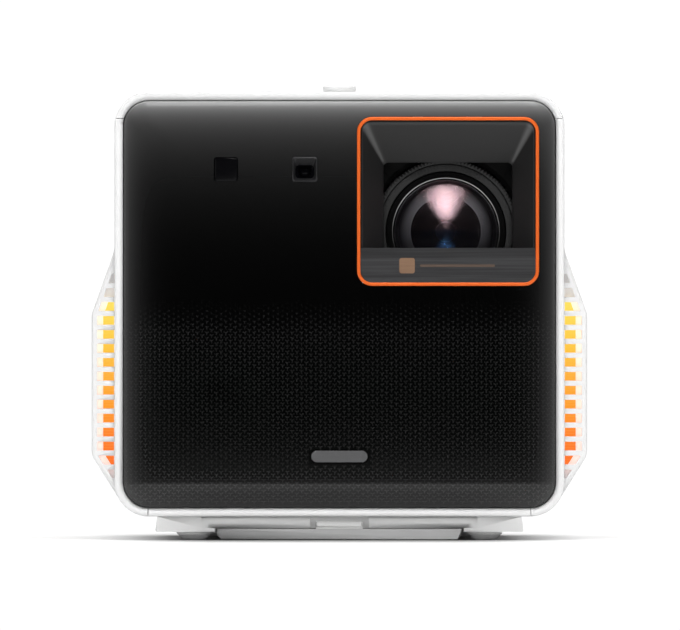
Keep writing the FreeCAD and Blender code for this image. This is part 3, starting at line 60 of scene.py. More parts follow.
ring_low, ring_high = span("lens_ring")
panel_low, panel_high = span("front_panel")
hood_low, hood_high = span("lens_hood")
strip_low, strip_high = span("trim_strip")
lens_low, lens_high = span("front_lens")
glow_low, glow_high = span("light_bars")
LENS_X = (lens_low[0] + lens_high[0]) / 2
LENS_Z = (lens_low[2] + lens_high[2]) / 2
PANEL_HALF_X = (panel_high[0] - panel_low[0]) / 2
PANEL_HALF_Z = (panel_high[2] - panel_low[2]) / 2
PANEL_MIDDLE_Z = (panel_high[2] + panel_low[2]) / 2
PANEL_CORNER = 11.0 * MM
RING_BAND = hood_low[0] - ring_low[0]
WINDOW_FROM_RING = 11.6 * MM
WINDOW_WIDTH = 56.1 * MM
WINDOW_HEIGHT = 37.3 * MM
SILL_DROP = 0.9 * MM


def window_box():
    """The window at the back of the recess: left, right, bottom and top."""
    left = ring_low[0] + WINDOW_FROM_RING
    sill = strip_high[2]
    return np.array([left, left + WINDOW_WIDTH, sill - SILL_DROP, sill + WINDOW_HEIGHT])


# ---- shader building -------------------------------------------------------------------------------------
class Value:
    """A shader socket on which arithmetic adds Math nodes."""

    def __init__(self, shader, socket):
        self.shader = shader
        self.socket = socket

    def maths(self, operation, *terms):
        return self.shader.node("ShaderNodeMath", {"operation": operation}, dict(enumerate(terms)))

    def __add__(self, other):
        return self.maths("ADD", self, other)

    __radd__ = __add__

    def __sub__(self, other):
        return self.maths("SUBTRACT", self, other)

    def __rsub__(self, other):
        return self.maths("SUBTRACT", other, self)

    def __mul__(self, other):
        return self.maths("MULTIPLY", self, other)

    __rmul__ = __mul__

    def __truediv__(self, other):
        return self.maths("DIVIDE", self, other)

    def __pow__(self, other):
        return self.maths("POWER", self, other)

    def __rpow__(self, other):
        return self.maths("POWER", other, self)

    def __abs__(self):
        return self.maths("ABSOLUTE", self)

    def __gt__(self, other):
        return self.maths("GREATER_THAN", self, other)

    def least(self, other):
        return self.maths("MINIMUM", self, other)

    def most(self, other):
        return self.maths("MAXIMUM", self, other)

    def wave(self, pitch):
        """A sine wave that repeats every pitch."""
        return self.maths("SINE", self * (2 * math.pi / pitch))


class Shader:
    """A material under construction."""

    def __init__(self, name, world=False):
        if world:
            self.owner = bpy.data.worlds.new(name)
        else:
            self.owner = bpy.data.materials.new(name)
        self.owner.use_nodes = True
        self.tree = self.owner.node_tree
        self.tree.nodes.clear()

    def node(self, kind, settings, inputs, output=0):
        """Adds a node: its settings first, then the values or links of its sockets. Returns one output.
        "stops" holds a colour ramp's positions and colours."""
        made = self.tree.nodes.new(kind)
        for key, value in settings.items():
            if key == "stops":
                elements = made.color_ramp.elements
                while len(elements) < len(value):
                    elements.new(1.0)
                for element, (position, colour) in zip(elements, value):
                    element.position = position
                    element.color = (*colour, 1.0)
            else:
                setattr(made, key, value)
        for key, value in inputs.items():
            if isinstance(value, Value):
                self.tree.links.new(value.socket, made.inputs[key])
            elif isinstance(value, tuple) and made.inputs[key].type == "RGBA":
                made.inputs[key].default_value = (*value[:3], 1.0)
            else:
                made.inputs[key].default_value = value
        return Value(self, made.outputs[output])

    def place(self, scale=(1.0, 1.0, 1.0), centre=(0.0, 0.0, 0.0)):
        """Object coordinates in metres, measured from a centre and multiplied by a scale."""
        at = self.node("ShaderNodeTexCoord", {}, {}, "Object")
        stretch = tuple(1.0 / s for s in scale)
        return self.node("ShaderNodeMapping", {"vector_type": "TEXTURE"},
                         {"Vector": at, "Location": centre, "Scale": stretch})

    def noise(self, at, scale, detail=2.0):
        return self.node("ShaderNodeTexNoise", {}, {"Vector": at, "Scale": scale, "Detail": detail})

    def spots(self, at, scale):
        """Distance from the nearest of many scattered points."""
        return self.node("ShaderNodeTexVoronoi", {}, {"Vector": at, "Scale": scale}, "Distance")

    def axis(self, at, name):
        """One coordinate of a place."""
        return self.node("ShaderNodeSeparateXYZ", {}, {"Vector": at}, name)

    def blend(self, factor, first, second):
        """Mixes two colours."""
        return self.node("ShaderNodeMix", {"data_type": "RGBA"}, {0: factor, 6: first, 7: second}, 2)

    def grey(self, level):
        """A number as a grey colour."""
        return self.node("ShaderNodeCombineColor", {}, {0: level, 1: level, 2: level})

    def tone(self, colour, factor, amount):
        """The colour, a little darker or lighter with the factor."""
        darker = tuple(c * (1 - amount) for c in colour)
        lighter = tuple(min(c * (1 + amount), 1.0) for c in colour)
        return self.blend(factor, darker, lighter)

    def steps(self, factor, low, high):
        """Zero at low, one at high, smooth in between and level beyond both. low may be the larger."""
        settings = {"interpolation_type": "SMOOTHSTEP"}
        return self.node("ShaderNodeMapRange", settings, {0: factor, 1: low, 2: high, 3: 0.0, 4: 1.0})

    def line(self, factor, at, half_width, sharp):
        """One along a line at a value, and zero beyond its half width; flat on top as far as sharp."""
        return self.steps(abs(factor - at), half_width, sharp)

    def bump(self, height, depth):
        return self.node("ShaderNodeBump", {}, {"Height": height, "Distance": depth, "Strength": 1.0})

    def close(self, values):
        """Finishes with a Principled surface."""
        return self.output(self.node("ShaderNodeBsdfPrincipled", {}, values))

    def output(self, skin):
        """Finishes with any surface."""
        made = self.tree.nodes.new("ShaderNodeOutputMaterial")
        self.tree.links.new(skin.socket, made.inputs["Surface"])
        return self.owner


# ---- finishes --------------------------------------------------------------------------------------------
PLASTIC_GRAIN = 4200.0
PLASTIC_DRIFT = 26.0
PLASTIC_HANDLING = 9.0
SCRATCH_STRETCH = 0.02
# Strength and fade per millimetre of the painted reflection on the front panel and its stars: along the
# sides, along the top and bottom edges, inwards from the outline, down from the top edge and up from the
# bottom edge.
SIDE_PAINTED_REFLECTION = 0.042
LEVEL_PAINTED_REFLECTION = 0.014
EDGE_REFLECTION_FADE = 0.78
TOP_REFLECTION_FADE = 0.9394
BOTTOM_REFLECTION_FADE = 0.90
RIDGE_SHORT = 1.6 * MM


def plastic_grain(s, at, rough):
    """A moulded surface's fine spark-eroded grain, its slow drift, and the roughness that they give."""
    fine = s.noise(at, PLASTIC_GRAIN, 1.0)
    slow = s.noise(at, PLASTIC_DRIFT, 3.0)
    handled = s.steps(s.noise(at, PLASTIC_HANDLING, 4.0), 0.45, 0.75)
    return fine, slow, rough + (slow - 0.5) * 0.10 + (fine - 0.5) * 0.10 - handled * 0.03


def moulded(name, colour, rough, grain=0.6, drift=0.05, specular=0.5):
    """Moulded plastic: a fine spark-eroded grain, and a slow drift of tone and gloss."""
    s = Shader(name)
    fine, slow, roughness = plastic_grain(s, s.place(), rough)
    return s.close({
        "Base Color": s.tone(colour, slow, drift),
        "Roughness": roughness,
        "Specular IOR Level": specular,
        "Normal": s.bump(fine, grain * 0.02 * MM),
    })


def shell_white():
    """The white shell: moulded plastic, with painted light on the thin rim that faces forward round the
    panel, which makes it paler there.
    """
    s = Shader("shell_white")
    at = s.place()
    front = panel_low[1]
    inward, _ = outline_depth(s, s.axis(at, "X"), s.axis(at, "Z"))
    # Painted light: the base colour is raised on the thin rim that faces forward round the panel.
    rim = s.steps(inward, -3.4 * MM, -0.9 * MM) * s.steps(s.axis(at, "Y"), front + 5 * MM, front + MM)
    fine, slow, roughness = plastic_grain(s, at, 0.42)
    return s.close({
        "Base Color": s.grey((0.655 + rim * 0.27) * (0.99 + slow * 0.02)),
        "Roughness": roughness,
        "Normal": s.bump(fine, 0.01 * MM),
    })


def brushed(name, colour, rough, along="x", metallic=1.0, depth=0.01, lines=3000.0):
    """Brushed metal: long fine scratches along one axis."""
    s = Shader(name)
    at = s.place(tuple(SCRATCH_STRETCH if axis == along else 1.0 for axis in "xyz"))
    scratches = s.noise(at, lines, 2.0)
    bands = s.noise(at, lines * 0.12, 2.0)
    mark = scratches * 0.5 + bands * 0.5
    return s.close({
        "Base Color": s.tone(colour, s.steps(mark, 0.3, 0.7), 0.30),
        "Metallic": metallic,
        "Roughness": rough + (mark - 0.5) * 0.22,
        "Normal": s.bump(mark, depth * MM),
    })


def anodised(name, colour, rough):
    """Bead-blasted and dyed aluminium: fine sparkle and a slight change of depth."""
    s = Shader(name)
    at = s.place()
    beads = s.noise(at, 6000.0, 1.0)
    slow = s.noise(at, 60.0, 2.0)
    return s.close({
        "Base Color": s.tone(colour, slow * 0.5 + beads * 0.5, 0.10),
        "Metallic": 0.35,
        "Roughness": rough + (beads - 0.5) * 0.15,
        "Normal": s.bump(beads, 0.008 * MM),
    })


def cast(name, colour, rough, metallic=1.0):
    """Die-cast or plated metal: shallow pits and flow marks."""
    s = Shader(name)
    at = s.place()
    pits = s.spots(at, 1400.0)
    flow = s.noise(at, 90.0, 4.0)
    return s.close({
        "Base Color": s.tone(colour, flow, 0.12),
        "Metallic": metallic,
        "Roughness": rough + (flow - 0.5) * 0.2,
        "Normal": s.bump(pits * 0.5 + flow, 0.03 * MM),
    })


def circuit(name, colour):
    """A circuit board: lacquer over tracks that run both ways, with tinned pads."""
    s = Shader(name)
    at = s.place()
    cells = s.node("ShaderNodeTexBrick", {}, {
        "Vector": at, "Scale": 260.0, "Mortar Size": 0.03, "Color1": (0.0, 0.0, 0.0),
        "Color2": (0.15, 0.15, 0.15), "Mortar": (1.0, 1.0, 1.0)}, "Fac")
    pads = s.steps(s.spots(at, 420.0), 0.16, 0.12)
    lacquer = s.blend(cells, colour, tuple(min(c * 1.9 + 0.02, 1.0) for c in colour))
    return s.close({
        "Base Color": s.blend(pads, lacquer, (0.62, 0.60, 0.55)),
        "Metallic": pads * 0.8,
        "Roughness": 0.35 + cells * 0.1,
        "Normal": s.bump(cells + pads, 0.05 * MM),
    })


def rubbery(name, colour):
    """Rubber or coated paper: dull and finely pitted."""
    s = Shader(name)
    at = s.place()
    fine = s.noise(at, 2600.0, 3.0)
    return s.close({
        "Base Color": s.tone(colour, s.noise(at, 120.0, 3.0), 0.10),
        "Roughness": 0.72 + (fine - 0.5) * 0.2,
        "Specular IOR Level": 0.3,
        "Normal": s.bump(fine, 0.03 * MM),
    })


def outline_depth(s, x, z):
    """Distance in from the front panel's outline, a rectangle with round corners. Also how much a place
    belongs to the top and bottom edges rather than to the sides."""
    over_x = abs(x) - (PANEL_HALF_X - PANEL_CORNER)
    over_z = abs(z - PANEL_MIDDLE_Z) - (PANEL_HALF_Z - PANEL_CORNER)
    corner_x, corner_z = over_x.most(0.0), over_z.most(0.0)
    bend = (corner_x * corner_x + corner_z * corner_z) ** 0.5
    return PANEL_CORNER - bend - over_x.most(over_z).least(0.0), s.steps(over_z - over_x, -7 * MM, 7 * MM)


def piano_panel():
    """The front panel: gloss black lacquer with a very fine orange peel. Its colour carries a painted
    reflection, strong along the top edge, faint along the sides and the bottom, and gone in the middle, and a
    thin painted highlight line along its outline, strongest on the top edge."""
    s = Shader("panel_black")
    at = s.place()
    x, z = s.axis(at, "X"), s.axis(at, "Z")
    inward, level = outline_depth(s, x, z)
    upper = s.steps(z, 80 * MM, 125 * MM)
    down = (panel_high[2] - z) / MM
    up = (z - panel_low[2]) / MM
    # Painted reflection: a wash along the sides, the top and the bottom edge.
    edge = (1 - level) * SIDE_PAINTED_REFLECTION + level * (upper * 0.175 + LEVEL_PAINTED_REFLECTION)
    # Painted highlight: a thin line along the outline, strongest on the top edge.
    line = s.steps(inward, 0.75 * MM, 0.25 * MM) * (level * upper * 0.14 + 0.012)
    painted_reflections = edge * EDGE_REFLECTION_FADE ** (inward / MM) + 0.060 * TOP_REFLECTION_FADE ** down + 0.026 * BOTTOM_REFLECTION_FADE ** up
    # The panel's colour is these painted reflections and the painted highlight over a near-black base.
    tint = (painted_reflections + line) * 0.80 + 0.0006
    peel = s.noise(at, 900.0, 2.0)
    slow = s.noise(at, 14.0, 3.0)
    return s.close({
        "Base Color": s.grey(tint * (0.96 + slow * 0.08)),
        "Roughness": 0.085 + s.steps(inward, 9 * MM, 3 * MM) * 0.13 + (slow - 0.5) * 0.02,
        "Specular IOR Level": 0.25,
        "Normal": s.bump(peel, 0.0015 * MM),
    })


def panel_relief():
    """The raised stars on the front panel: satin, a shade lighter than the lacquer round them, with the
    panel's painted reflection along the edges and towards the bottom.
    """
    s = Shader("panel_relief")
    at = s.place()
    x, z = s.axis(at, "X"), s.axis(at, "Z")
    inward, level = outline_depth(s, x, z)
    up = (z - panel_low[2]) / MM
    # Painted reflection as on the panel round the stars: along the edges and towards the bottom. The last
    # term is the stars' own lighter colour.
    edge = (1 - level) * SIDE_PAINTED_REFLECTION + level * LEVEL_PAINTED_REFLECTION
    tint = edge * EDGE_REFLECTION_FADE ** (inward / MM) * 0.8 + 0.020 * BOTTOM_REFLECTION_FADE ** up + 0.0100
    fine = s.noise(at, 3800.0, 1.0)
    return s.close({
        "Base Color": s.grey(tint * (0.9 + fine * 0.2)),
        "Roughness": 0.13 + (fine - 0.5) * 0.02,
        "Normal": s.bump(fine, 0.002 * MM),
    })


def badge_marks():
    """Satin marks: warm bronze on the trim strip, darker on its thin plate, and plain grey low on the
    front panel."""
    s = Shader("badge_satin")
    at = s.place((0.05, 1.0, 1.0))
    lines = s.noise(at, 2600.0, 2.0)
    where = s.place()
    upper = s.axis(where, "Z") > 80 * MM
    thin = s.axis(where, "X") > strip_low[0] + 25 * MM
    square = s.tone((0.185, 0.108, 0.064), lines, 0.18)
    bronze = s.blend(thin, square, s.tone((0.082, 0.056, 0.042), lines, 0.18))
    colour = s.blend(upper, s.tone((0.074, 0.074, 0.076), lines, 0.12), bronze)
    return s.close({
        "Base Color": colour,
        "Metallic": 0.2,
        "Roughness": 0.42 + (lines - 0.5) * 0.12,
        "Normal": s.bump(lines, 0.004 * MM),
    })


def light_guide():
    """Lit light guides: yellow at the top, turning to deep orange at the bottom."""
    s = Shader("light_guide_lit")
    at = s.place()
    height = s.axis(at, "Z")
    rise = (height - glow_low[2]) / (glow_high[2] - glow_low[2])
    stops = [
        (0.00, (1.0, 0.155, 0.014)), (0.18, (1.0, 0.215, 0.020)), (0.36, (1.0, 0.330, 0.022)),
        (0.55, (1.0, 0.430, 0.040)), (0.75, (1.0, 0.590, 0.052)), (1.00, (1.0, 0.780, 0.125)),
    ]
    glow = s.node("ShaderNodeValToRGB", {"stops": stops}, {"Fac": rise}, "Color")
    haze = s.noise(at, 420.0, 3.0)
    lines = height.wave(1.25 * MM)
    ribbed = s.blend(s.steps(lines, 0.2, 1.0) * 0.10 + haze * 0.04, glow, (1.0, 0.62, 0.20))
    return s.close({
        "Base Color": s.blend(0.96, ribbed, (0.0, 0.0, 0.0)),
        "Roughness": 0.5 + (haze - 0.5) * 0.1,
        "Specular IOR Level": 0.3,
        "Emission Color": ribbed,
        "Emission Strength": 0.97,
        "Normal": s.bump(lines, 0.05 * MM),
    })


def holder_plate():
    """The reflector behind the light guides: white plastic with painted light, glowing warm where the guides
    would light it and plain grey beyond their ends."""
    s = Shader("holder_painted_glow")
    at = s.place()
    height = s.axis(at, "Z")
    fine = s.noise(at, 3000.0, 2.0)
    # Painted light: the reflector's emission stands in for the guides' light falling on it, and for light on
    # it beyond their ends.
    lit = s.steps(height, glow_low[2] - 3 * MM, glow_low[2] + 1 * MM) \
        * s.steps(height, glow_high[2] + 3 * MM, glow_high[2] - 1 * MM)
    glow = s.blend(lit, (0.30, 0.30, 0.31), (0.62, 0.47, 0.44))
    return s.close({
        "Base Color": s.tone((0.80, 0.76, 0.74), fine, 0.04),
        "Roughness": 0.5 + (fine - 0.5) * 0.1,
        "Emission Color": glow,
        "Emission Strength": 0.85,
        "Normal": s.bump(fine, 0.02 * MM),
    })


def hood_walls():
    """The recess's walls: dark moulded plastic, with a painted highlight and a lower roughness along the
    ridge in each upper corner, and painted light that makes the top wall lighter than the sides. The ridge
    runs from the window's corner to the mouth's corner and widens towards the mouth."""
    s = Shader("hood_grey")
    at = s.place()
    middle = (ring_low[0] + ring_high[0]) / 2
    left, right, _, top = window_box()
    near = ((right - left) / 2, top)
    far = ((hood_high[0] - hood_low[0]) / 2 - RIDGE_SHORT, hood_high[2] - RIDGE_SHORT)
    length = math.hypot(far[0] - near[0], far[1] - near[1])
    way = ((far[0] - near[0]) / length, (far[1] - near[1]) / length)
    aside = abs(s.axis(at, "X") - middle) - near[0]
    above = s.axis(at, "Z") - near[1]
    along = (aside * way[0] + above * way[1]) / length
    off = abs(aside * way[1] - above * way[0])
    width = 0.7 * MM + along.most(0.0) * 2.0 * MM
    # Mask of the painted highlight along each upper corner's ridge. It also lowers the roughness there.
    ridge = s.steps(off / width, 1.0, 0.15) * s.steps(along, -0.02, 0.05)
    # Painted light: the top wall is made lighter than the sides.
    painted_roof_light = s.steps(above * way[0] - aside * way[1], -0.3 * MM, 0.6 * MM) * s.steps(above, 0.0, 0.8 * MM)
    fine = s.noise(at, PLASTIC_GRAIN, 1.0)
    slow = s.noise(at, PLASTIC_DRIFT, 3.0)
    level = (0.0062 + painted_roof_light * 0.0066 + ridge * 0.046) * (0.92 + slow * 0.16)
    return s.close({
        "Base Color": s.grey(level),
        "Roughness": 0.48 - ridge * 0.12 + (fine - 0.5) * 0.10,
        "Normal": s.bump(fine, 0.016 * MM),
    })


def about_lens(s):
    """Places measured from the lens axis: where, across, up and away from it."""
    at = s.place(centre=(LENS_X, 0.0, LENS_Z))
    x, z = s.axis(at, "X"), s.axis(at, "Z")
    return at, x, z, (x * x + z * z) ** 0.5


def cell_face():
    """The front of the lens barrel: a turned edge round the glass with a painted highlight that is strongest
    at the top, a blackened step, a grey ring with one groove drawn as a line of painted shade, and black
    beyond it. Distances are in millimetres."""
    s = Shader("cell_face")
    at, _, z, away = about_lens(s)
    away = away / MM
    above = s.steps(z / MM, -12.0, 18.0)
    # Painted highlight: a thin line on the turned edge round the glass, lit most at the top.
    painted_edge_highlight = s.line(away, 23.35, 0.26, 0.08) * (0.06 + above ** 2.0 * 0.94)
    grey = s.steps(away, 26.2, 26.7) * s.steps(away, 32.4, 31.9)
    # Painted shade: the groove in the grey ring is a darker line.
    groove = s.line(away, 29.5, 0.28, 0.12)
    slow = s.noise(at, 90.0, 2.0)
    turning = away.wave(0.35)
    level = 0.0012 + grey * 0.026 * (1 - groove * 0.85) + painted_edge_highlight * 0.34
    return s.close({
        "Base Color": s.grey(level * (0.9 + slow * 0.2)),
        "Roughness": 0.40 + (slow - 0.5) * 0.08,
        "Specular IOR Level": 0.08,
        "Normal": s.bump(turning, 0.004 * MM),
    })


def inner_cone():
    """The cone behind the front glass: satin grey with painted light, lighter high up and darker towards its
    outer edge, with a painted highlight line at either end and turned steps. Distances are in millimetres."""
    s = Shader("inner_cone")
    at, _, z, away = about_lens(s)
    away = away / MM
    # Painted light: the cone and its end lines are lit most high up.
    high = s.steps(z / MM, -16.0, 17.0)
    cone = s.steps(away, 15.2, 15.8) * s.steps(away, 20.9, 19.6)
    # Painted highlights: a thin line at either end of the cone.
    rim = s.line(away, 15.6, 0.30, 0.10) + s.line(away, 22.3, 0.22, 0.08) * 0.8
    turning = away.wave(0.40)
    slow = s.noise(at, 90.0, 2.0)
    # Painted shade across the cone, darkest at its outer edge.
    slope = s.steps(away, 21.5, 15.5)
    level = 0.003 + (cone * slope * 0.34 + rim * 0.22) * (0.08 + high ** 2.0 * 0.92)
    return s.close({
        "Base Color": s.grey(level * (0.9 + slow * 0.2)),
        "Roughness": 0.38 + (slow - 0.5) * 0.08,
        "Normal": s.bump(turning, 0.005 * MM),
    })


def coated_glass(name, tint, haze, fan=0.0):
    """Lens glass: clear where it faces you, with a tinted reflection that grows towards its edge. With a fan,
    the coating's fine rings draw the light out, and a painted reflection sets where and in what colour: a
    slim fan about the upright through the axis, rose above the axis and blue below it, and two faint painted
    rings above the axis."""
    s = Shader(name)
    at, x, z, away = about_lens(s)
    dust = s.steps(s.noise(at, 700.0, 4.0), 0.62, 0.85)
    clear = s.node("ShaderNodeBsdfTransparent", {}, {"Color": (0.93, 0.93, 0.95)})
    shine = s.node("ShaderNodeBsdfGlossy", {}, {"Color": tint, "Roughness": haze})
    edge = s.node("ShaderNodeFresnel", {}, {"IOR": 1.5})
    skin = s.node("ShaderNodeMixShader", {}, {0: edge * 0.5 + dust * 0.006, 1: clear, 2: shine})
    if fan:
        rings = away.wave(0.55 * MM)
        above = s.steps(z, -0.5 * MM, 1.5 * MM)
        # Painted reflection colour: rose above the axis, blue below it.
        coating = s.node("ShaderNodeBsdfPrincipled", {}, {
            "Base Color": s.blend(above, (0.16, 0.44, 1.0), (1.0, 0.69, 0.75)),
            "Metallic": 1.0,
            "Roughness": 0.24,
            "Normal": s.bump(rings, 0.045 * MM),
        })
        # Painted reflection: masks that keep the fan slim about the upright, stronger above the axis, faded
        # near the axis and the rim, and two faint painted rings.
        narrow = s.steps(abs(x) / (abs(z) + 0.3 * MM), 0.78, 0.16)
        deep = s.steps(away, 2.4 * MM, 15.0 * MM) * s.steps(away, 25.5 * MM, 15.0 * MM)
        circles = s.line(away, 4.4 * MM, 0.40 * MM, 0.10 * MM) + s.line(away, 2.2 * MM, 0.6 * MM, 0.0)
        shape = deep * narrow * (0.75 + above * 0.25) * (0.86 + rings * 0.14)
        share = shape * fan + circles * above * 0.05 + 0.01
        skin = s.node("ShaderNodeMixShader", {}, {0: share, 1: skin, 2: coating})
    return s.output(skin)


# Finishes by material slot, and those that single nodes or pieces have in place of their slot's.
finishes = {
    "shell": shell_white(),
    "panel": piano_panel(),
    "stars": panel_relief(),
    "rear_panel": moulded("rear_black", (0.022, 0.022, 0.024), 0.52, 1.4, 0.15),
    "screws": cast("screw_black", (0.10, 0.10, 0.105), 0.45),
    "ring": anodised("ring_orange", (0.70, 0.113, 0.010), 0.42),
    "hood": hood_walls(),
    "strip": brushed("strip_brushed", (0.056, 0.056, 0.058), 0.42, "x", 0.7, 0.008, 1300.0),
    "badges": badge_marks(),
    "sensor": moulded("sensor_dark", (0.0022, 0.0022, 0.0026), 0.12, 0.1, 0.3, 0.10),
    "bezel": moulded("bezel_black", (0.012, 0.012, 0.013), 0.40, 0.8, 0.15),
    "camera_lens": moulded("camera_lens_dark", (0.0015, 0.0015, 0.0022), 0.10, 0.1, 0.3, 0.10),
    "light_bar": light_guide(),
    "holder": holder_plate(),
    "mesh": anodised("mesh_orange", (0.60, 0.14, 0.02), 0.5),
    "plinth": moulded("plinth_grey", (0.86, 0.86, 0.855), 0.50, 1.0, 0.04),
    "brass": brushed("insert_brass", (0.75, 0.55, 0.25), 0.35, "z"),
    "stand": moulded("stand_grey", (0.70, 0.70, 0.70), 0.50, 1.0, 0.05),
    "lip": moulded("lip_grey", (0.93, 0.93, 0.92), 0.42, 0.6, 0.03),
    "steel": brushed("turned_steel", (0.56, 0.56, 0.57), 0.32, "x"),
    "collar": moulded("collar_grey", (0.78, 0.78, 0.77), 0.42, 0.6, 0.03),
    "rubber": rubbery("foot_rubber", (0.40, 0.40, 0.40)),
    "button": moulded("button_white", (0.66, 0.66, 0.657), 0.36, 0.4, 0.02),
    "board": circuit("circuit_green", (0.012, 0.075, 0.035)),
    "switch": moulded("switch_black", (0.02, 0.02, 0.02), 0.4, 0.8, 0.1),
    "inner_plastic": moulded("inner_black", (0.018, 0.018, 0.019), 0.55, 1.2, 0.15),
    "knob": moulded("knob_white", (0.79, 0.79, 0.787), 0.38, 0.5, 0.02),
    "lens_glass": coated_glass("lens_coated", (1.0, 0.80, 0.86), 0.22),
    "front_glass": coated_glass("lens_coated_front", (1.0, 0.84, 0.88), 0.22, 1.15),
    "cell_face": cell_face(),
    "inner_cone": inner_cone(),
    "gear_plastic": moulded("acetal_cream", (0.72, 0.69, 0.60), 0.4, 0.6, 0.04),
    "cast_metal": cast("die_cast", (0.34, 0.34, 0.35), 0.5),
    "copper": brushed("copper_plate", (0.78, 0.36, 0.20), 0.35, "y"),
    "aluminium": brushed("bare_aluminium", (0.72, 0.72, 0.74), 0.35, "y"),
    "sheet_steel": cast("plated_sheet", (0.58, 0.58, 0.60), 0.32),
    "magnet": cast("ferrite", (0.05, 0.05, 0.05), 0.7, 0.1),
    "cone": rubbery("coated_paper", (0.03, 0.03, 0.032)),
}


# ---- mesh building ---------------------------------------------------------------------------------------
def grid(points, around=False):
    """Points of a grid (rows, columns, 3) and its quads; around closes the columns into a loop."""
    rows, columns = points.shape[:2]
    index = np.arange(rows * columns).reshape(rows, columns)
    if around:
        index = np.hstack([index, index[:, :1]])
    quads = np.stack([index[:-1, :-1], index[:-1, 1:], index[1:, 1:], index[1:, :-1]], axis=-1)
    return points.reshape(-1, 3), quads.reshape(-1, 4)


def joined(parts):
    """Several parts as one. A part is its points and one or more arrays of faces."""
    points, faces, first = [], [], 0
    for some, *groups in parts:
        points.append(some)
        faces += [group + first for group in groups]
        first += len(some)
    return np.vstack(points), faces


def merge_doubles(work):
    """Merges points that lie on one another."""
    bmesh.ops.remove_doubles(work, verts=work.verts, dist=0.001 * MM)


def piece(name, body, slot, parts, stands_for=(), finish=None, merge=True, angle=32.0):
    """A mesh piece from its parts: doubles merged, normals outwards, smooth except at corners."""
    points, faces = joined(parts)
    mesh = bpy.data.meshes.new(name)
    mesh.from_pydata(points.tolist(), [], [face for group in faces for face in group.tolist()])
    work = bmesh.new()
    work.from_mesh(mesh)
    if merge:
        merge_doubles(work)
        bmesh.ops.recalc_face_normals(work, faces=work.faces)
    work.to_mesh(mesh)
    work.free()
    return dressed(name, mesh, body, slot, stands_for, finish, angle)


def dressed(name, mesh, body, slot, stands_for, finish, angle):
    """Shades a mesh, gives it its finish, and hangs it on its body."""
    mesh.shade_smooth()
    mesh.set_sharp_from_angle(angle=math.radians(angle))
    mesh.materials.clear()
    mesh.materials.append(finishes[finish or slot])
    thing = bpy.data.objects.new(name, mesh)
    bpy.context.scene.collection.objects.link(thing)
    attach(thing, body)
    if stands_for:
        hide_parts(*stands_for)
    return thing


def smoothed(node, angle=28.0):
    """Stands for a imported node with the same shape, merged and shaded smoothly over its curves."""
    source = frame["nodes"][node]
    mesh = source.data.copy()
    work = bmesh.new()
    work.from_mesh(mesh)
    merge_doubles(work)
    work.to_mesh(mesh)
    work.free()
    thing = dressed(node + "_skin", mesh, body_of[node], slot_of[node], (node,), NODE_FINISH.get(node), angle)
    weigh = thing.modifiers.new("even_faces", "WEIGHTED_NORMAL")
    weigh.keep_sharp = True
    weigh.weight = 80
    return thing


def rounded_loop(left, right, bottom, top, radii, arc=10):
    """Points (x, z) and outward directions of a rectangle whose corners are quarter circles, anticlockwise
    from the lower right corner. radii are for the lower right, upper right, upper left and lower left."""
    turn = np.linspace(0, math.pi / 2, arc + 1)
    points, outward = [], []
    corners = [(right, bottom, -1, 1), (right, top, -1, -1), (left, top, 1, -1), (left, bottom, 1, 1)]
    for i, (x, z, sx, sz) in enumerate(corners):
        angle = turn + (i - 1) * math.pi / 2
        way = np.stack([np.cos(angle), np.sin(angle)], axis=-1)
        centre = np.array([x + sx * radii[i], z + sz * radii[i]])
        points.append(centre + way * radii[i])
        outward.append(way)
    return np.vstack(points), np.vstack(outward)


def with_depth(flat, depth):
    """(x, z) points as (x, y, z) points at one depth."""
    return np.stack([flat[:, 0], np.full(len(flat), depth), flat[:, 1]], axis=-1)


def turned(axis, centre, profile, count=72):
    """A profile of (radius, position) pairs carried round an axis through centre: each point goes round a
    circle of its radius, at its position along the axis."""
    angle = np.linspace(0, 2 * math.pi, count, endpoint=False)
    radius, along = np.array(profile, float).T
    side = radius[:, None] * np.cos(angle)
    up = radius[:, None] * np.sin(angle)
    level = np.repeat(along[:, None], count, axis=1)
    a, b = centre
    if axis == "y":
        points = np.stack([a + side, level, b + up], axis=-1)
    else:
        points = np.stack([a + side, b + up, level], axis=-1)
    return grid(points, around=True)


def bowed(start, end, bulge, count):
    """Profile points from start to end along a shallow arc that stands out by bulge in the middle."""
    t = np.linspace(0, 1, count)[:, None]
    start, end = np.array(start, float), np.array(end, float)
    way = end - start
    side = np.array([way[1], -way[0]]) / np.linalg.norm(way)
    return (start + way * t + side * bulge * 4 * t * (1 - t)).tolist()


body_of = {node: body for body, nodes in frame["record"]["behaviour"]["bodies"].items() for node in nodes}
slot_of = {part["node"]: part["material_slot"] for part in frame["record"]["subparts"]}


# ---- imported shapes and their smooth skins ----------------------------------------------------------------
SMOOTH_NODES = [
    "top_cover", "right_side_cover", "left_side_cover", "base_cover", "front_panel", "rear_panel",
    "rear_screws", "trim_strip", "blank_badges", "sensor_window", "camera_bezel", "camera_lens",
    "light_bars", "light_bar_holders", "base_plinth", "mount_inserts", "tilt_stand", "stand_pull_lip",
    "power_button", "mode_button", "front_lens_cell", "inner_lens_cell", "lens_barrel", "focus_ring",
    "lens_shroud", "right_fan_rotor", "left_fan_rotor", "fan_frames", "speaker_cones", "speaker_frames",
    "hdmi_sockets", "usb_sockets", "audio_jack", "dc_inlet",
]
NODE_FINISH = {
    "front_lens_cell": "cell_face", "lens_barrel": "cell_face", "focus_ring": "cell_face",
    "lens_shroud": "cell_face", "inner_lens_cell": "inner_cone",
}


def dress_packed_nodes():
    """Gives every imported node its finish, and adds the smooth skins."""
    for node, thing in frame["nodes"].items():
        finish = finishes[NODE_FINISH.get(node, slot_of[node])]
        if not thing.material_slots:
            thing.data.materials.append(finish)
        for place in thing.material_slots:
            place.material = finish
    for node in SMOOTH_NODES:
        smoothed(node)


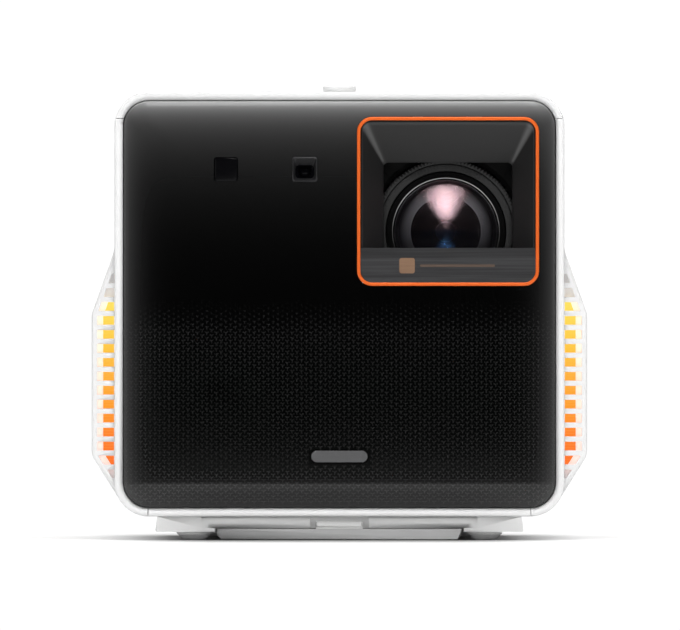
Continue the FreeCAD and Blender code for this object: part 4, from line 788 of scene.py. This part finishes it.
# ---- lens ring -------------------------------------------------------------------------------------------
RING_CORNER = 6.6 * MM
RING_EDGE = 0.45 * MM


def ring_frame():
    """The coloured band: a section with two rounded front edges, carried round the ring's outline."""
    path, outward = rounded_loop(ring_low[0], ring_high[0], ring_low[2], ring_high[2],
                                 [RING_CORNER] * 4, 14)
    back = ring_high[1]
    shoulder = ring_low[1] + RING_EDGE
    bend = np.linspace(0, math.pi / 2, 5)
    outer = [(RING_EDGE * math.cos(a) - RING_EDGE, shoulder - RING_EDGE * math.sin(a)) for a in bend]
    inner = [(RING_EDGE - RING_BAND - RING_EDGE * math.sin(a), shoulder - RING_EDGE * math.cos(a))
             for a in bend]
    section = [(0.0, back), *outer, *inner, (-RING_BAND, back), (0.0, back)]
    rows = [with_depth(path + outward * out, depth) for out, depth in section]
    piece("lens_ring_band", "case", "ring", [grid(np.stack(rows), around=True)], ("lens_ring",), angle=50)


# ---- hood of the recess ----------------------------------------------------------------------------------
MOUTH_EDGE = 0.95 * MM
MOUTH_GROOVE = 0.55 * MM
GROOVE_DEPTH = 1.5 * MM
HOOD_WALL = 2.0 * MM
MOUTH_RADII = np.array([0.6, 4.2, 4.2, 0.6]) * MM
WINDOW_RADII = np.array([0.6, 2.0, 2.0, 0.6]) * MM
WALL_ROWS = 13


def hood_funnel():
    """The recess's four walls. Each wall runs in a straight line from the mouth's outline to the window's
    outline, so a soft ridge runs down each upper corner. A fine groove parts the mouth from the ring."""
    face, back = hood_low[1], hood_high[1]
    opening = [hood_low[0], hood_high[0], hood_low[2], hood_high[2]]
    mouth = np.array([hood_low[0] + MOUTH_EDGE, hood_high[0] - MOUTH_EDGE,
                      strip_high[2], hood_high[2] - MOUTH_EDGE])
    window = window_box()
    walls = []
    for t in np.linspace(0, 1, WALL_ROWS):
        path, _ = rounded_loop(*(mouth * (1 - t) + window * t), MOUTH_RADII * (1 - t) + WINDOW_RADII * t)
        walls.append(with_depth(path, face + (back - HOOD_WALL - face) * t))
    flange, outward = rounded_loop(*opening, [RING_CORNER - RING_BAND] * 4)
    rim = flange - outward * MOUTH_GROOVE
    behind, _ = rounded_loop(*(window + HOOD_WALL * np.array([-1, 1, -1, 1])), [2.0 * MM] * 4)
    bottom = face + GROOVE_DEPTH
    loops = [with_depth(flange, bottom), with_depth(rim, bottom), with_depth(rim, face), *walls,
             with_depth(path, back), with_depth(behind, back), with_depth(flange, face + HOOD_WALL),
             with_depth(flange, bottom)]
    piece("lens_hood_walls", "case", "hood", [grid(np.stack(loops), around=True)], ("lens_hood",), angle=40)


# ---- three-pointed relief on the front panel -------------------------------------------------------------
STAR_PITCH = 2.38 * MM
STAR_ARM = 1.08 * MM
STAR_HALF_WIDTH = 0.24 * MM
STAR_HEIGHT = 0.05 * MM
STAR_SINK = 0.05 * MM
STAR_TOP = 0.86
STAR_SMALLEST = 0.2
STARS_START = 104.0 * MM
STARS_FULL = 90.5 * MM
STARS_EDGE = 1.2 * MM
BADGE_HALF = 12.2 * MM
BADGE_TALL = 5.0 * MM
BADGE_CLEARANCE = 0.8 * MM
CROWN_RADIUS = 30.0 * MM
CROWN_WIDTH = 11.0 * MM


def panel_depth(x, z):
    """Depth of the panel's face: flat in the middle, and within the crown's width of the outline it falls
    back along a circle of the crown's radius."""
    over_x = np.abs(x) - (PANEL_HALF_X - CROWN_WIDTH)
    over_z = np.abs(z - PANEL_MIDDLE_Z) - (PANEL_HALF_Z - CROWN_WIDTH)
    corner = PANEL_CORNER - CROWN_WIDTH
    corner_x, corner_z = over_x + corner, over_z + corner
    out = np.where((corner_x > 0) & (corner_z > 0), np.hypot(corner_x, corner_z) - corner,
                   np.maximum(over_x, over_z))
    out = np.clip(out, 0, CROWN_WIDTH)
    return panel_low[1] + CROWN_RADIUS - np.sqrt(CROWN_RADIUS**2 - out**2)


def on_panel(x, z, ahead):
    """Points a little ahead of the panel's face."""
    return np.stack([x, panel_depth(x, z) - ahead, z], axis=-1)


def star_centres():
    """A triangular lattice over the lower part of the panel, clear of its edge and of the low badge."""
    column = STAR_PITCH * math.sqrt(3) / 2
    count_x = int((panel_high[0] - STARS_EDGE) / column)
    count_z = int(STARS_START / STAR_PITCH) + 1
    i, j = np.meshgrid(np.arange(-count_x, count_x + 1), np.arange(count_z))
    x = i * column
    z = (j + 0.5 * (i % 2)) * STAR_PITCH
    badge = span("blank_badges")[0][2]
    corner_x = np.abs(x) - (panel_high[0] - PANEL_CORNER)
    corner_z = (panel_low[2] + PANEL_CORNER) - z
    in_corner = (corner_x > 0) & (corner_z > 0)
    in_corner &= np.hypot(corner_x, corner_z) > PANEL_CORNER - STARS_EDGE
    on_badge = np.abs(x) < BADGE_HALF + BADGE_CLEARANCE
    on_badge &= (z > badge - BADGE_CLEARANCE) & (z < badge + BADGE_TALL + BADGE_CLEARANCE)
    keep = (z < STARS_START) & (z > panel_low[2] + STARS_EDGE) & ~in_corner & ~on_badge
    return x[keep], z[keep]


def star_outline():
    """The nine corners (x, z) of a full star: a valley and an arm's two ends, three times."""
    corners = []
    for arm in np.radians([-90.0, 30.0, 150.0]):
        way = np.array([math.cos(arm), math.sin(arm)])
        side = np.array([-way[1], way[0]])
        valley = np.array([math.cos(arm - math.pi / 3), math.sin(arm - math.pi / 3)])
        corners += [valley * STAR_HALF_WIDTH * 2 / math.sqrt(3),
                    way * STAR_ARM - side * STAR_HALF_WIDTH, way * STAR_ARM + side * STAR_HALF_WIDTH]
    return np.array(corners)


def star_relief():
    """Raised three-pointed stars. Their size grows from a dot to the full arm as the height falls from the
    start line to the full line."""
    x, z = star_centres()
    grown = np.clip((STARS_START - z) / (STARS_START - STARS_FULL), 0.0, 1.0)
    size = (grown * (1 - STAR_SMALLEST) + STAR_SMALLEST)[:, None, None]
    centre = np.stack([x, z], axis=-1)[:, None]
    outline = star_outline()
    foot = outline * size + centre
    top = outline * STAR_TOP * size + centre
    stars = np.concatenate([on_panel(foot[..., 0], foot[..., 1], -STAR_SINK),
                            on_panel(top[..., 0], top[..., 1], STAR_HEIGHT),
                            on_panel(x, z, STAR_HEIGHT)[:, None]], axis=1)
    count = len(outline)
    around = np.arange(count)
    after = (around + 1) % count
    sides = np.stack([around, after, after + count, around + count], axis=-1)
    caps = np.stack([around + count, after + count, np.full(count, 2 * count)], axis=-1)
    first = (np.arange(len(stars)) * stars.shape[1])[:, None, None]
    part = (stars.reshape(-1, 3), (sides + first).reshape(-1, 4), (caps + first).reshape(-1, 3))
    piece("panel_star_relief", "case", "panel", [part], finish="stars", merge=False, angle=20)


# ---- perforated sheets behind the side vents -------------------------------------------------------------
WING_REACH = 10.0 * MM
WING_HEIGHTS = [17.5 * MM, 37.0 * MM, 98.6 * MM, 126.5 * MM]
SHEET_MARGIN = 1.0 * MM
SHEET_BEND = 5.4 * MM
SHEET_INSET = 2.5 * MM
SHEET_THICKNESS = 0.6 * MM
HOLE_PITCH = 3.1 * MM
HOLE_RADIUS = 1.05 * MM


def wing_path(count):
    """Points (x, z) and outward directions, evenly spaced along the inside of the right wing's section:
    the slope at the bottom, the flat face and the slope at the top, with rounded bends. Also its length."""
    outer = span("right_side_cover")[1][0]
    side = outer - WING_REACH
    corners = np.stack([[side, outer, outer, side], WING_HEIGHTS], axis=-1)
    way = np.diff(corners, axis=0)
    way /= np.linalg.norm(way, axis=1)[:, None]
    out = np.stack([way[:, 1], -way[:, 0]], axis=-1)
    base = corners[:-1] - out * SHEET_INSET

    def meet(a, b):
        """Where two runs of the section cross."""
        system = np.array([way[a], -way[b]]).T
        t = np.linalg.solve(system, base[b] - base[a])
        return base[a] + way[a] * t[0]

    def end(run):
        """Where a sloping run ends, beside the wall."""
        return base[run] + way[run] * ((side + SHEET_MARGIN - base[run][0]) / way[run][0])

    stops = [end(0), meet(0, 1), meet(1, 2), end(2)]
    points = [stops[0]]
    for k in (1, 2):
        before, after = way[k - 1], way[k]
        bend = math.acos(np.clip(np.dot(before, after), -1, 1))
        reach = SHEET_BEND * math.tan(bend / 2)
        centre = stops[k] - before * reach - out[k - 1] * SHEET_BEND
        for t in np.linspace(0, 1, 9):
            direction = out[k - 1] * (1 - t) + out[k] * t
            points.append(centre + direction / np.linalg.norm(direction) * SHEET_BEND)
    points.append(stops[3])
    points = np.array(points)
    length = np.concatenate([[0], np.cumsum(np.linalg.norm(np.diff(points, axis=0), axis=1))])
    at = np.linspace(0, length[-1], count)
    even = np.stack([np.interp(at, length, points[:, 0]), np.interp(at, length, points[:, 1])], axis=-1)
    tangent = np.gradient(even, axis=0)
    tangent /= np.linalg.norm(tangent, axis=1)[:, None]
    return even, np.stack([tangent[:, 1], -tangent[:, 0]], axis=-1), length[-1]


def vent_sheets():
    """Punched sheets: square cells with an eight-sided hole each, laid along the wing's section."""
    path, out, length = wing_path(400)
    front, back = (corner[1] for corner in span("vent_meshes"))
    rows = int(length / HOLE_PITCH)
    columns = int((back - front) / HOLE_PITCH)
    step_s, step_y = length / rows, (back - front) / columns
    square = np.array([[1, 0], [1, 1], [0, 1], [-1, 1], [-1, 0], [-1, -1], [0, -1], [1, -1]], float)
    angle = np.arange(len(square)) * 2 * math.pi / len(square)
    rim = square * np.array([step_s, step_y]) / 2
    hole = np.stack([np.cos(angle), np.sin(angle)], axis=-1) * HOLE_RADIUS
    cell = np.stack([rim, hole, hole, rim])
    inwards = np.array([0, 0, SHEET_THICKNESS, SHEET_THICKNESS])[:, None]
    s = (np.arange(rows) + 0.5) * step_s
    y = front + (np.arange(columns) + 0.5) * step_y
    mid_s, mid_y = np.meshgrid(s, y, indexing="ij")
    at_s = np.clip(mid_s[..., None, None] + cell[None, None, ..., 0], 0, length)
    at_y = mid_y[..., None, None] + cell[None, None, ..., 1]
    along = np.linspace(0, length, len(path))
    x = np.interp(at_s, along, path[:, 0]) - np.interp(at_s, along, out[:, 0]) * inwards
    z = np.interp(at_s, along, path[:, 1]) - np.interp(at_s, along, out[:, 1]) * inwards
    points = np.stack([x, at_y, z], axis=-1).reshape(-1, 3)
    index = np.arange(cell.shape[0] * cell.shape[1]).reshape(cell.shape[:2])
    each = index.size
    index = np.hstack([index, index[:, :1]])
    quads = np.stack([index[:-1, :-1], index[1:, :-1], index[1:, 1:], index[:-1, 1:]], axis=-1).reshape(-1, 4)
    faces = (quads + (np.arange(rows * columns) * each)[:, None, None]).reshape(-1, 4)
    sheets = [(points, faces), (points * np.array([-1.0, 1.0, 1.0]), faces[:, ::-1])]
    piece("vent_sheets", "case", "mesh", sheets, ("vent_meshes",), angle=35)


# ---- lens ------------------------------------------------------------------------------------------------
FRONT_CURVE = 42.0 * MM
BACK_CURVE = 46.0 * MM
FRONT_THICKNESS = 4.2 * MM
SECOND_CURVE = 25.0 * MM


def dome(vertex, radius, curve, count):
    """Profile of a spherical cap: the position falls back from the vertex by the sphere's sag."""
    r = np.linspace(0.0, radius, count)
    return np.stack([r, vertex + curve - np.sqrt(curve**2 - r**2)], axis=-1).tolist()


def lens_glasses():
    """The front meniscus and the second lens as polished solids of revolution."""
    at = (LENS_X, LENS_Z)
    radius = (lens_high[0] - lens_low[0]) / 2
    front = dome(lens_low[1], radius, FRONT_CURVE, 16)
    back = dome(lens_low[1] + FRONT_THICKNESS, radius, BACK_CURVE, 16)[::-1]
    piece("front_lens_glass", "front_group", "lens_glass", [turned("y", at, front + back)],
          ("front_lens",), finish="front_glass", angle=40)
    low, high = span("second_lens")
    radius = (high[0] - low[0]) / 2
    front = dome(low[1], radius, SECOND_CURVE, 14)
    back = [(radius, high[1]), (0.0, high[1])]
    piece("second_lens_glass", "front_group", "lens_glass", [turned("y", at, front + back)],
          ("second_lens",), angle=40)


# ---- controls and feet -----------------------------------------------------------------------------------
DISH_RIM = 1.5 * MM
DISH_DEPTH = 0.75 * MM
KNOB_EDGE = 0.6 * MM
KNOB_TALL = 2.9 * MM
SLEEVE_RADIUS = 3.6 * MM
BORE_RADIUS = 2.36 * MM
BORE_DEPTH = 3.8 * MM


def joystick_knob():
    """The knob: a dished top with a rounded rim over a bored sleeve, carried round its upright axis."""
    low, high = span("joystick_knob")
    at = ((low[0] + high[0]) / 2, (low[1] + high[1]) / 2)
    r, top, foot = (high[0] - low[0]) / 2, high[2], low[2]
    shelf = top - KNOB_TALL
    dish_r = r - DISH_RIM
    dish = [(a, top - DISH_DEPTH * (1 - (a / dish_r) ** 2) ** 1.5) for a in np.linspace(0, dish_r, 10)]
    rim = [(r - KNOB_EDGE + KNOB_EDGE * math.sin(a), top - KNOB_EDGE + KNOB_EDGE * math.cos(a))
           for a in np.linspace(0, math.pi / 2, 7)]
    under = [(r - 0.1 * MM, shelf + 0.5 * MM), (r - 0.45 * MM, shelf), (SLEEVE_RADIUS, shelf),
             (SLEEVE_RADIUS, foot), (BORE_RADIUS, foot), (BORE_RADIUS, foot + BORE_DEPTH),
             (0.0, foot + BORE_DEPTH)]
    piece("joystick_cap", "knob", "knob", [turned("z", at, dish + rim + under, 64)], ("joystick_knob",),
          angle=38)


FOOT_X = 63.4 * MM
FOOT_Y = 84.0 * MM
COLLAR_HIDDEN = 3.0 * MM


def feet():
    """Each foot: a collar like a shallow cone over a domed rubber pad. The collar's stem goes on up into
    the plinth."""
    top = span("foot_collars")[1][2]
    joint = span("foot_pads")[1][2]
    base = top - COLLAR_HIDDEN
    collar = [(0.0, joint), (7.0 * MM, joint), (7.45 * MM, joint + 0.3 * MM), (7.7 * MM, base - 0.2 * MM),
              (7.7 * MM, base), (2.5 * MM, base), (2.5 * MM, top), (0.0, top)]
    pad = [(0.0, 0.0), *bowed((4.1 * MM, 0.0), (6.9 * MM, joint), 0.45 * MM, 8), (0.0, joint)]
    places = [(x, y) for x in (-FOOT_X, FOOT_X) for y in (-FOOT_Y, FOOT_Y)]
    for name, slot, profile, node in (("foot_collar_rings", "collar", collar, "foot_collars"),
                                      ("foot_pad_domes", "rubber", pad, "foot_pads")):
        piece(name, "case", slot, [turned("z", at, profile, 56) for at in places], (node,), angle=38)


# ---- floor, light and camera -----------------------------------------------------------------------------
FLOOR_HALF = 0.62
FOOTPRINT = (50 * MM, 74 * MM)
SHADE_FADE = 58 * MM
SHADE_REACH = 0.32


def floor():
    """A plain white floor with a painted contact shadow: its colour and glow fall off softly towards the
    footprint of what stands on it. The painted shade reaches further to the front and back than to the sides."""
    s = Shader("floor_white")
    at = s.place()
    slow = s.noise(at, 3.0, 2.0)
    over_x = (abs(s.axis(at, "X")) - FOOTPRINT[0]).most(0.0)
    over_y = (abs(s.axis(at, "Y")) - FOOTPRINT[1]).most(0.0) * SHADE_REACH
    away = (over_x * over_x + over_y * over_y) ** 0.5
    # Painted contact shadow: zero at the footprint, one where the floor is clear of it.
    clear = s.steps(away, 0.0, SHADE_FADE)
    finish = s.close({
        "Base Color": s.grey((0.32 + clear * 0.54) * (0.99 + slow * 0.02)),
        "Roughness": 0.75 + slow * 0.05,
        "Specular IOR Level": 0.1,
        "Emission Color": s.grey(clear * 0.15),
        "Emission Strength": 1.0,
    })
    ends = np.array([-FLOOR_HALF, FLOOR_HALF])
    x, y = np.meshgrid(ends, ends)
    points, quads = grid(np.stack([x, y, np.zeros_like(x)], axis=-1))
    mesh = bpy.data.meshes.new("floor")
    mesh.from_pydata(points.tolist(), [], quads.tolist())
    mesh.materials.append(finish)
    thing = bpy.data.objects.new("floor", mesh)
    bpy.context.scene.collection.objects.link(thing)


def softbox(name, at, aim, width, height, power):
    """A rectangular lamp at a place, turned towards a point."""
    lamp = bpy.data.lights.new(name, "AREA")
    lamp.shape = "RECTANGLE"
    lamp.size, lamp.size_y = width, height
    lamp.energy = power
    thing = bpy.data.objects.new(name, lamp)
    thing.location = at
    thing.rotation_euler = (Vector(aim) - Vector(at)).to_track_quat("-Z", "Y").to_euler()
    thing.visible_camera = False
    bpy.context.scene.collection.objects.link(thing)
    return thing


def surroundings():
    """Pale surroundings for the eye; reflections see a studio that is dark at the level of the object."""
    s = Shader("studio", world=True)
    direction = s.node("ShaderNodeTexCoord", {}, {}, "Generated")
    height = s.axis(direction, "Z")
    stops = [(0.0, (0.70, 0.70, 0.70)), (0.34, (0.45, 0.45, 0.45)), (0.44, (0.008, 0.008, 0.008)),
             (0.62, (0.008, 0.008, 0.008)), (0.82, (0.12, 0.12, 0.12)), (1.0, (0.60, 0.60, 0.60))]
    studio = s.node("ShaderNodeValToRGB", {"stops": stops}, {"Fac": height * 0.5 + 0.5}, "Color")
    seen = s.node("ShaderNodeLightPath", {}, {}, "Is Camera Ray")
    colour = s.blend(seen, studio, (1.05, 1.05, 1.05))
    sky = s.node("ShaderNodeBackground", {}, {"Color": colour, "Strength": 1.0})
    made = s.tree.nodes.new("ShaderNodeOutputWorld")
    s.tree.links.new(sky.socket, made.inputs["Surface"])
    bpy.context.scene.world = s.owner


def lights():
    """Two lamps for the panel and the strip, a low one that only matt surfaces show, one on each side, a
    large one overhead and two behind."""
    surroundings()
    softbox("top_front", (0.0465, -0.75, 0.88), (0.0465, -0.05, 0.12), 0.50, 0.32, 5.2)
    softbox("top_strip", (0.0, -0.27, 0.345), (0.0, -0.1, 0.16), 0.34, 0.05, 0.10)
    fill = softbox("low_fill", (0.0, -1.55, 0.07), (0.0, 0.0, 0.05), 1.0, 0.25, 8.0)
    fill.visible_glossy = False
    softbox("left_front", (-1.08, -0.84, 0.34), (0.0, 0.0, 0.10), 0.46, 0.66, 1.8)
    softbox("right_front", (1.08, -0.84, 0.34), (0.0, 0.0, 0.10), 0.46, 0.66, 1.8)
    softbox("overhead", (0.0, 0.1, 1.6), (0.0, 0.1, 0.0), 2.4, 2.4, 21.0)
    softbox("rear_left", (-0.9, 0.95, 0.7), (0.0, 0.0, 0.1), 0.8, 0.6, 7.0)
    softbox("rear_right", (0.9, 0.95, 0.7), (0.0, 0.0, 0.1), 0.8, 0.6, 7.0)


SENSOR_WIDTH = 36.0
VIEW_WIDTH = 296.1 * MM
VIEW_DISTANCE = 9.0
VIEW_ASIDE = 0.25 * MM
VIEW_HEIGHT = 98.2 * MM


def camera():
    """Level, straight at the front, from far enough away that the sides hardly converge."""
    lens = bpy.data.cameras.new("camera")
    lens.sensor_width = SENSOR_WIDTH
    lens.lens = SENSOR_WIDTH * VIEW_DISTANCE / VIEW_WIDTH
    lens.clip_start, lens.clip_end = 0.05, 50.0
    thing = bpy.data.objects.new("camera", lens)
    thing.location = (VIEW_ASIDE, panel_low[1] - VIEW_DISTANCE, VIEW_HEIGHT)
    thing.rotation_euler = (math.pi / 2, 0.0, 0.0)
    bpy.context.scene.collection.objects.link(thing)
    bpy.context.scene.camera = thing


bpy.context.scene.view_settings.view_transform = "Standard"
camera()
lights()
floor()
dress_packed_nodes()
ring_frame()
hood_funnel()
star_relief()
vent_sheets()
lens_glasses()
joystick_knob()
feet()

bpy.context.view_layer.update()
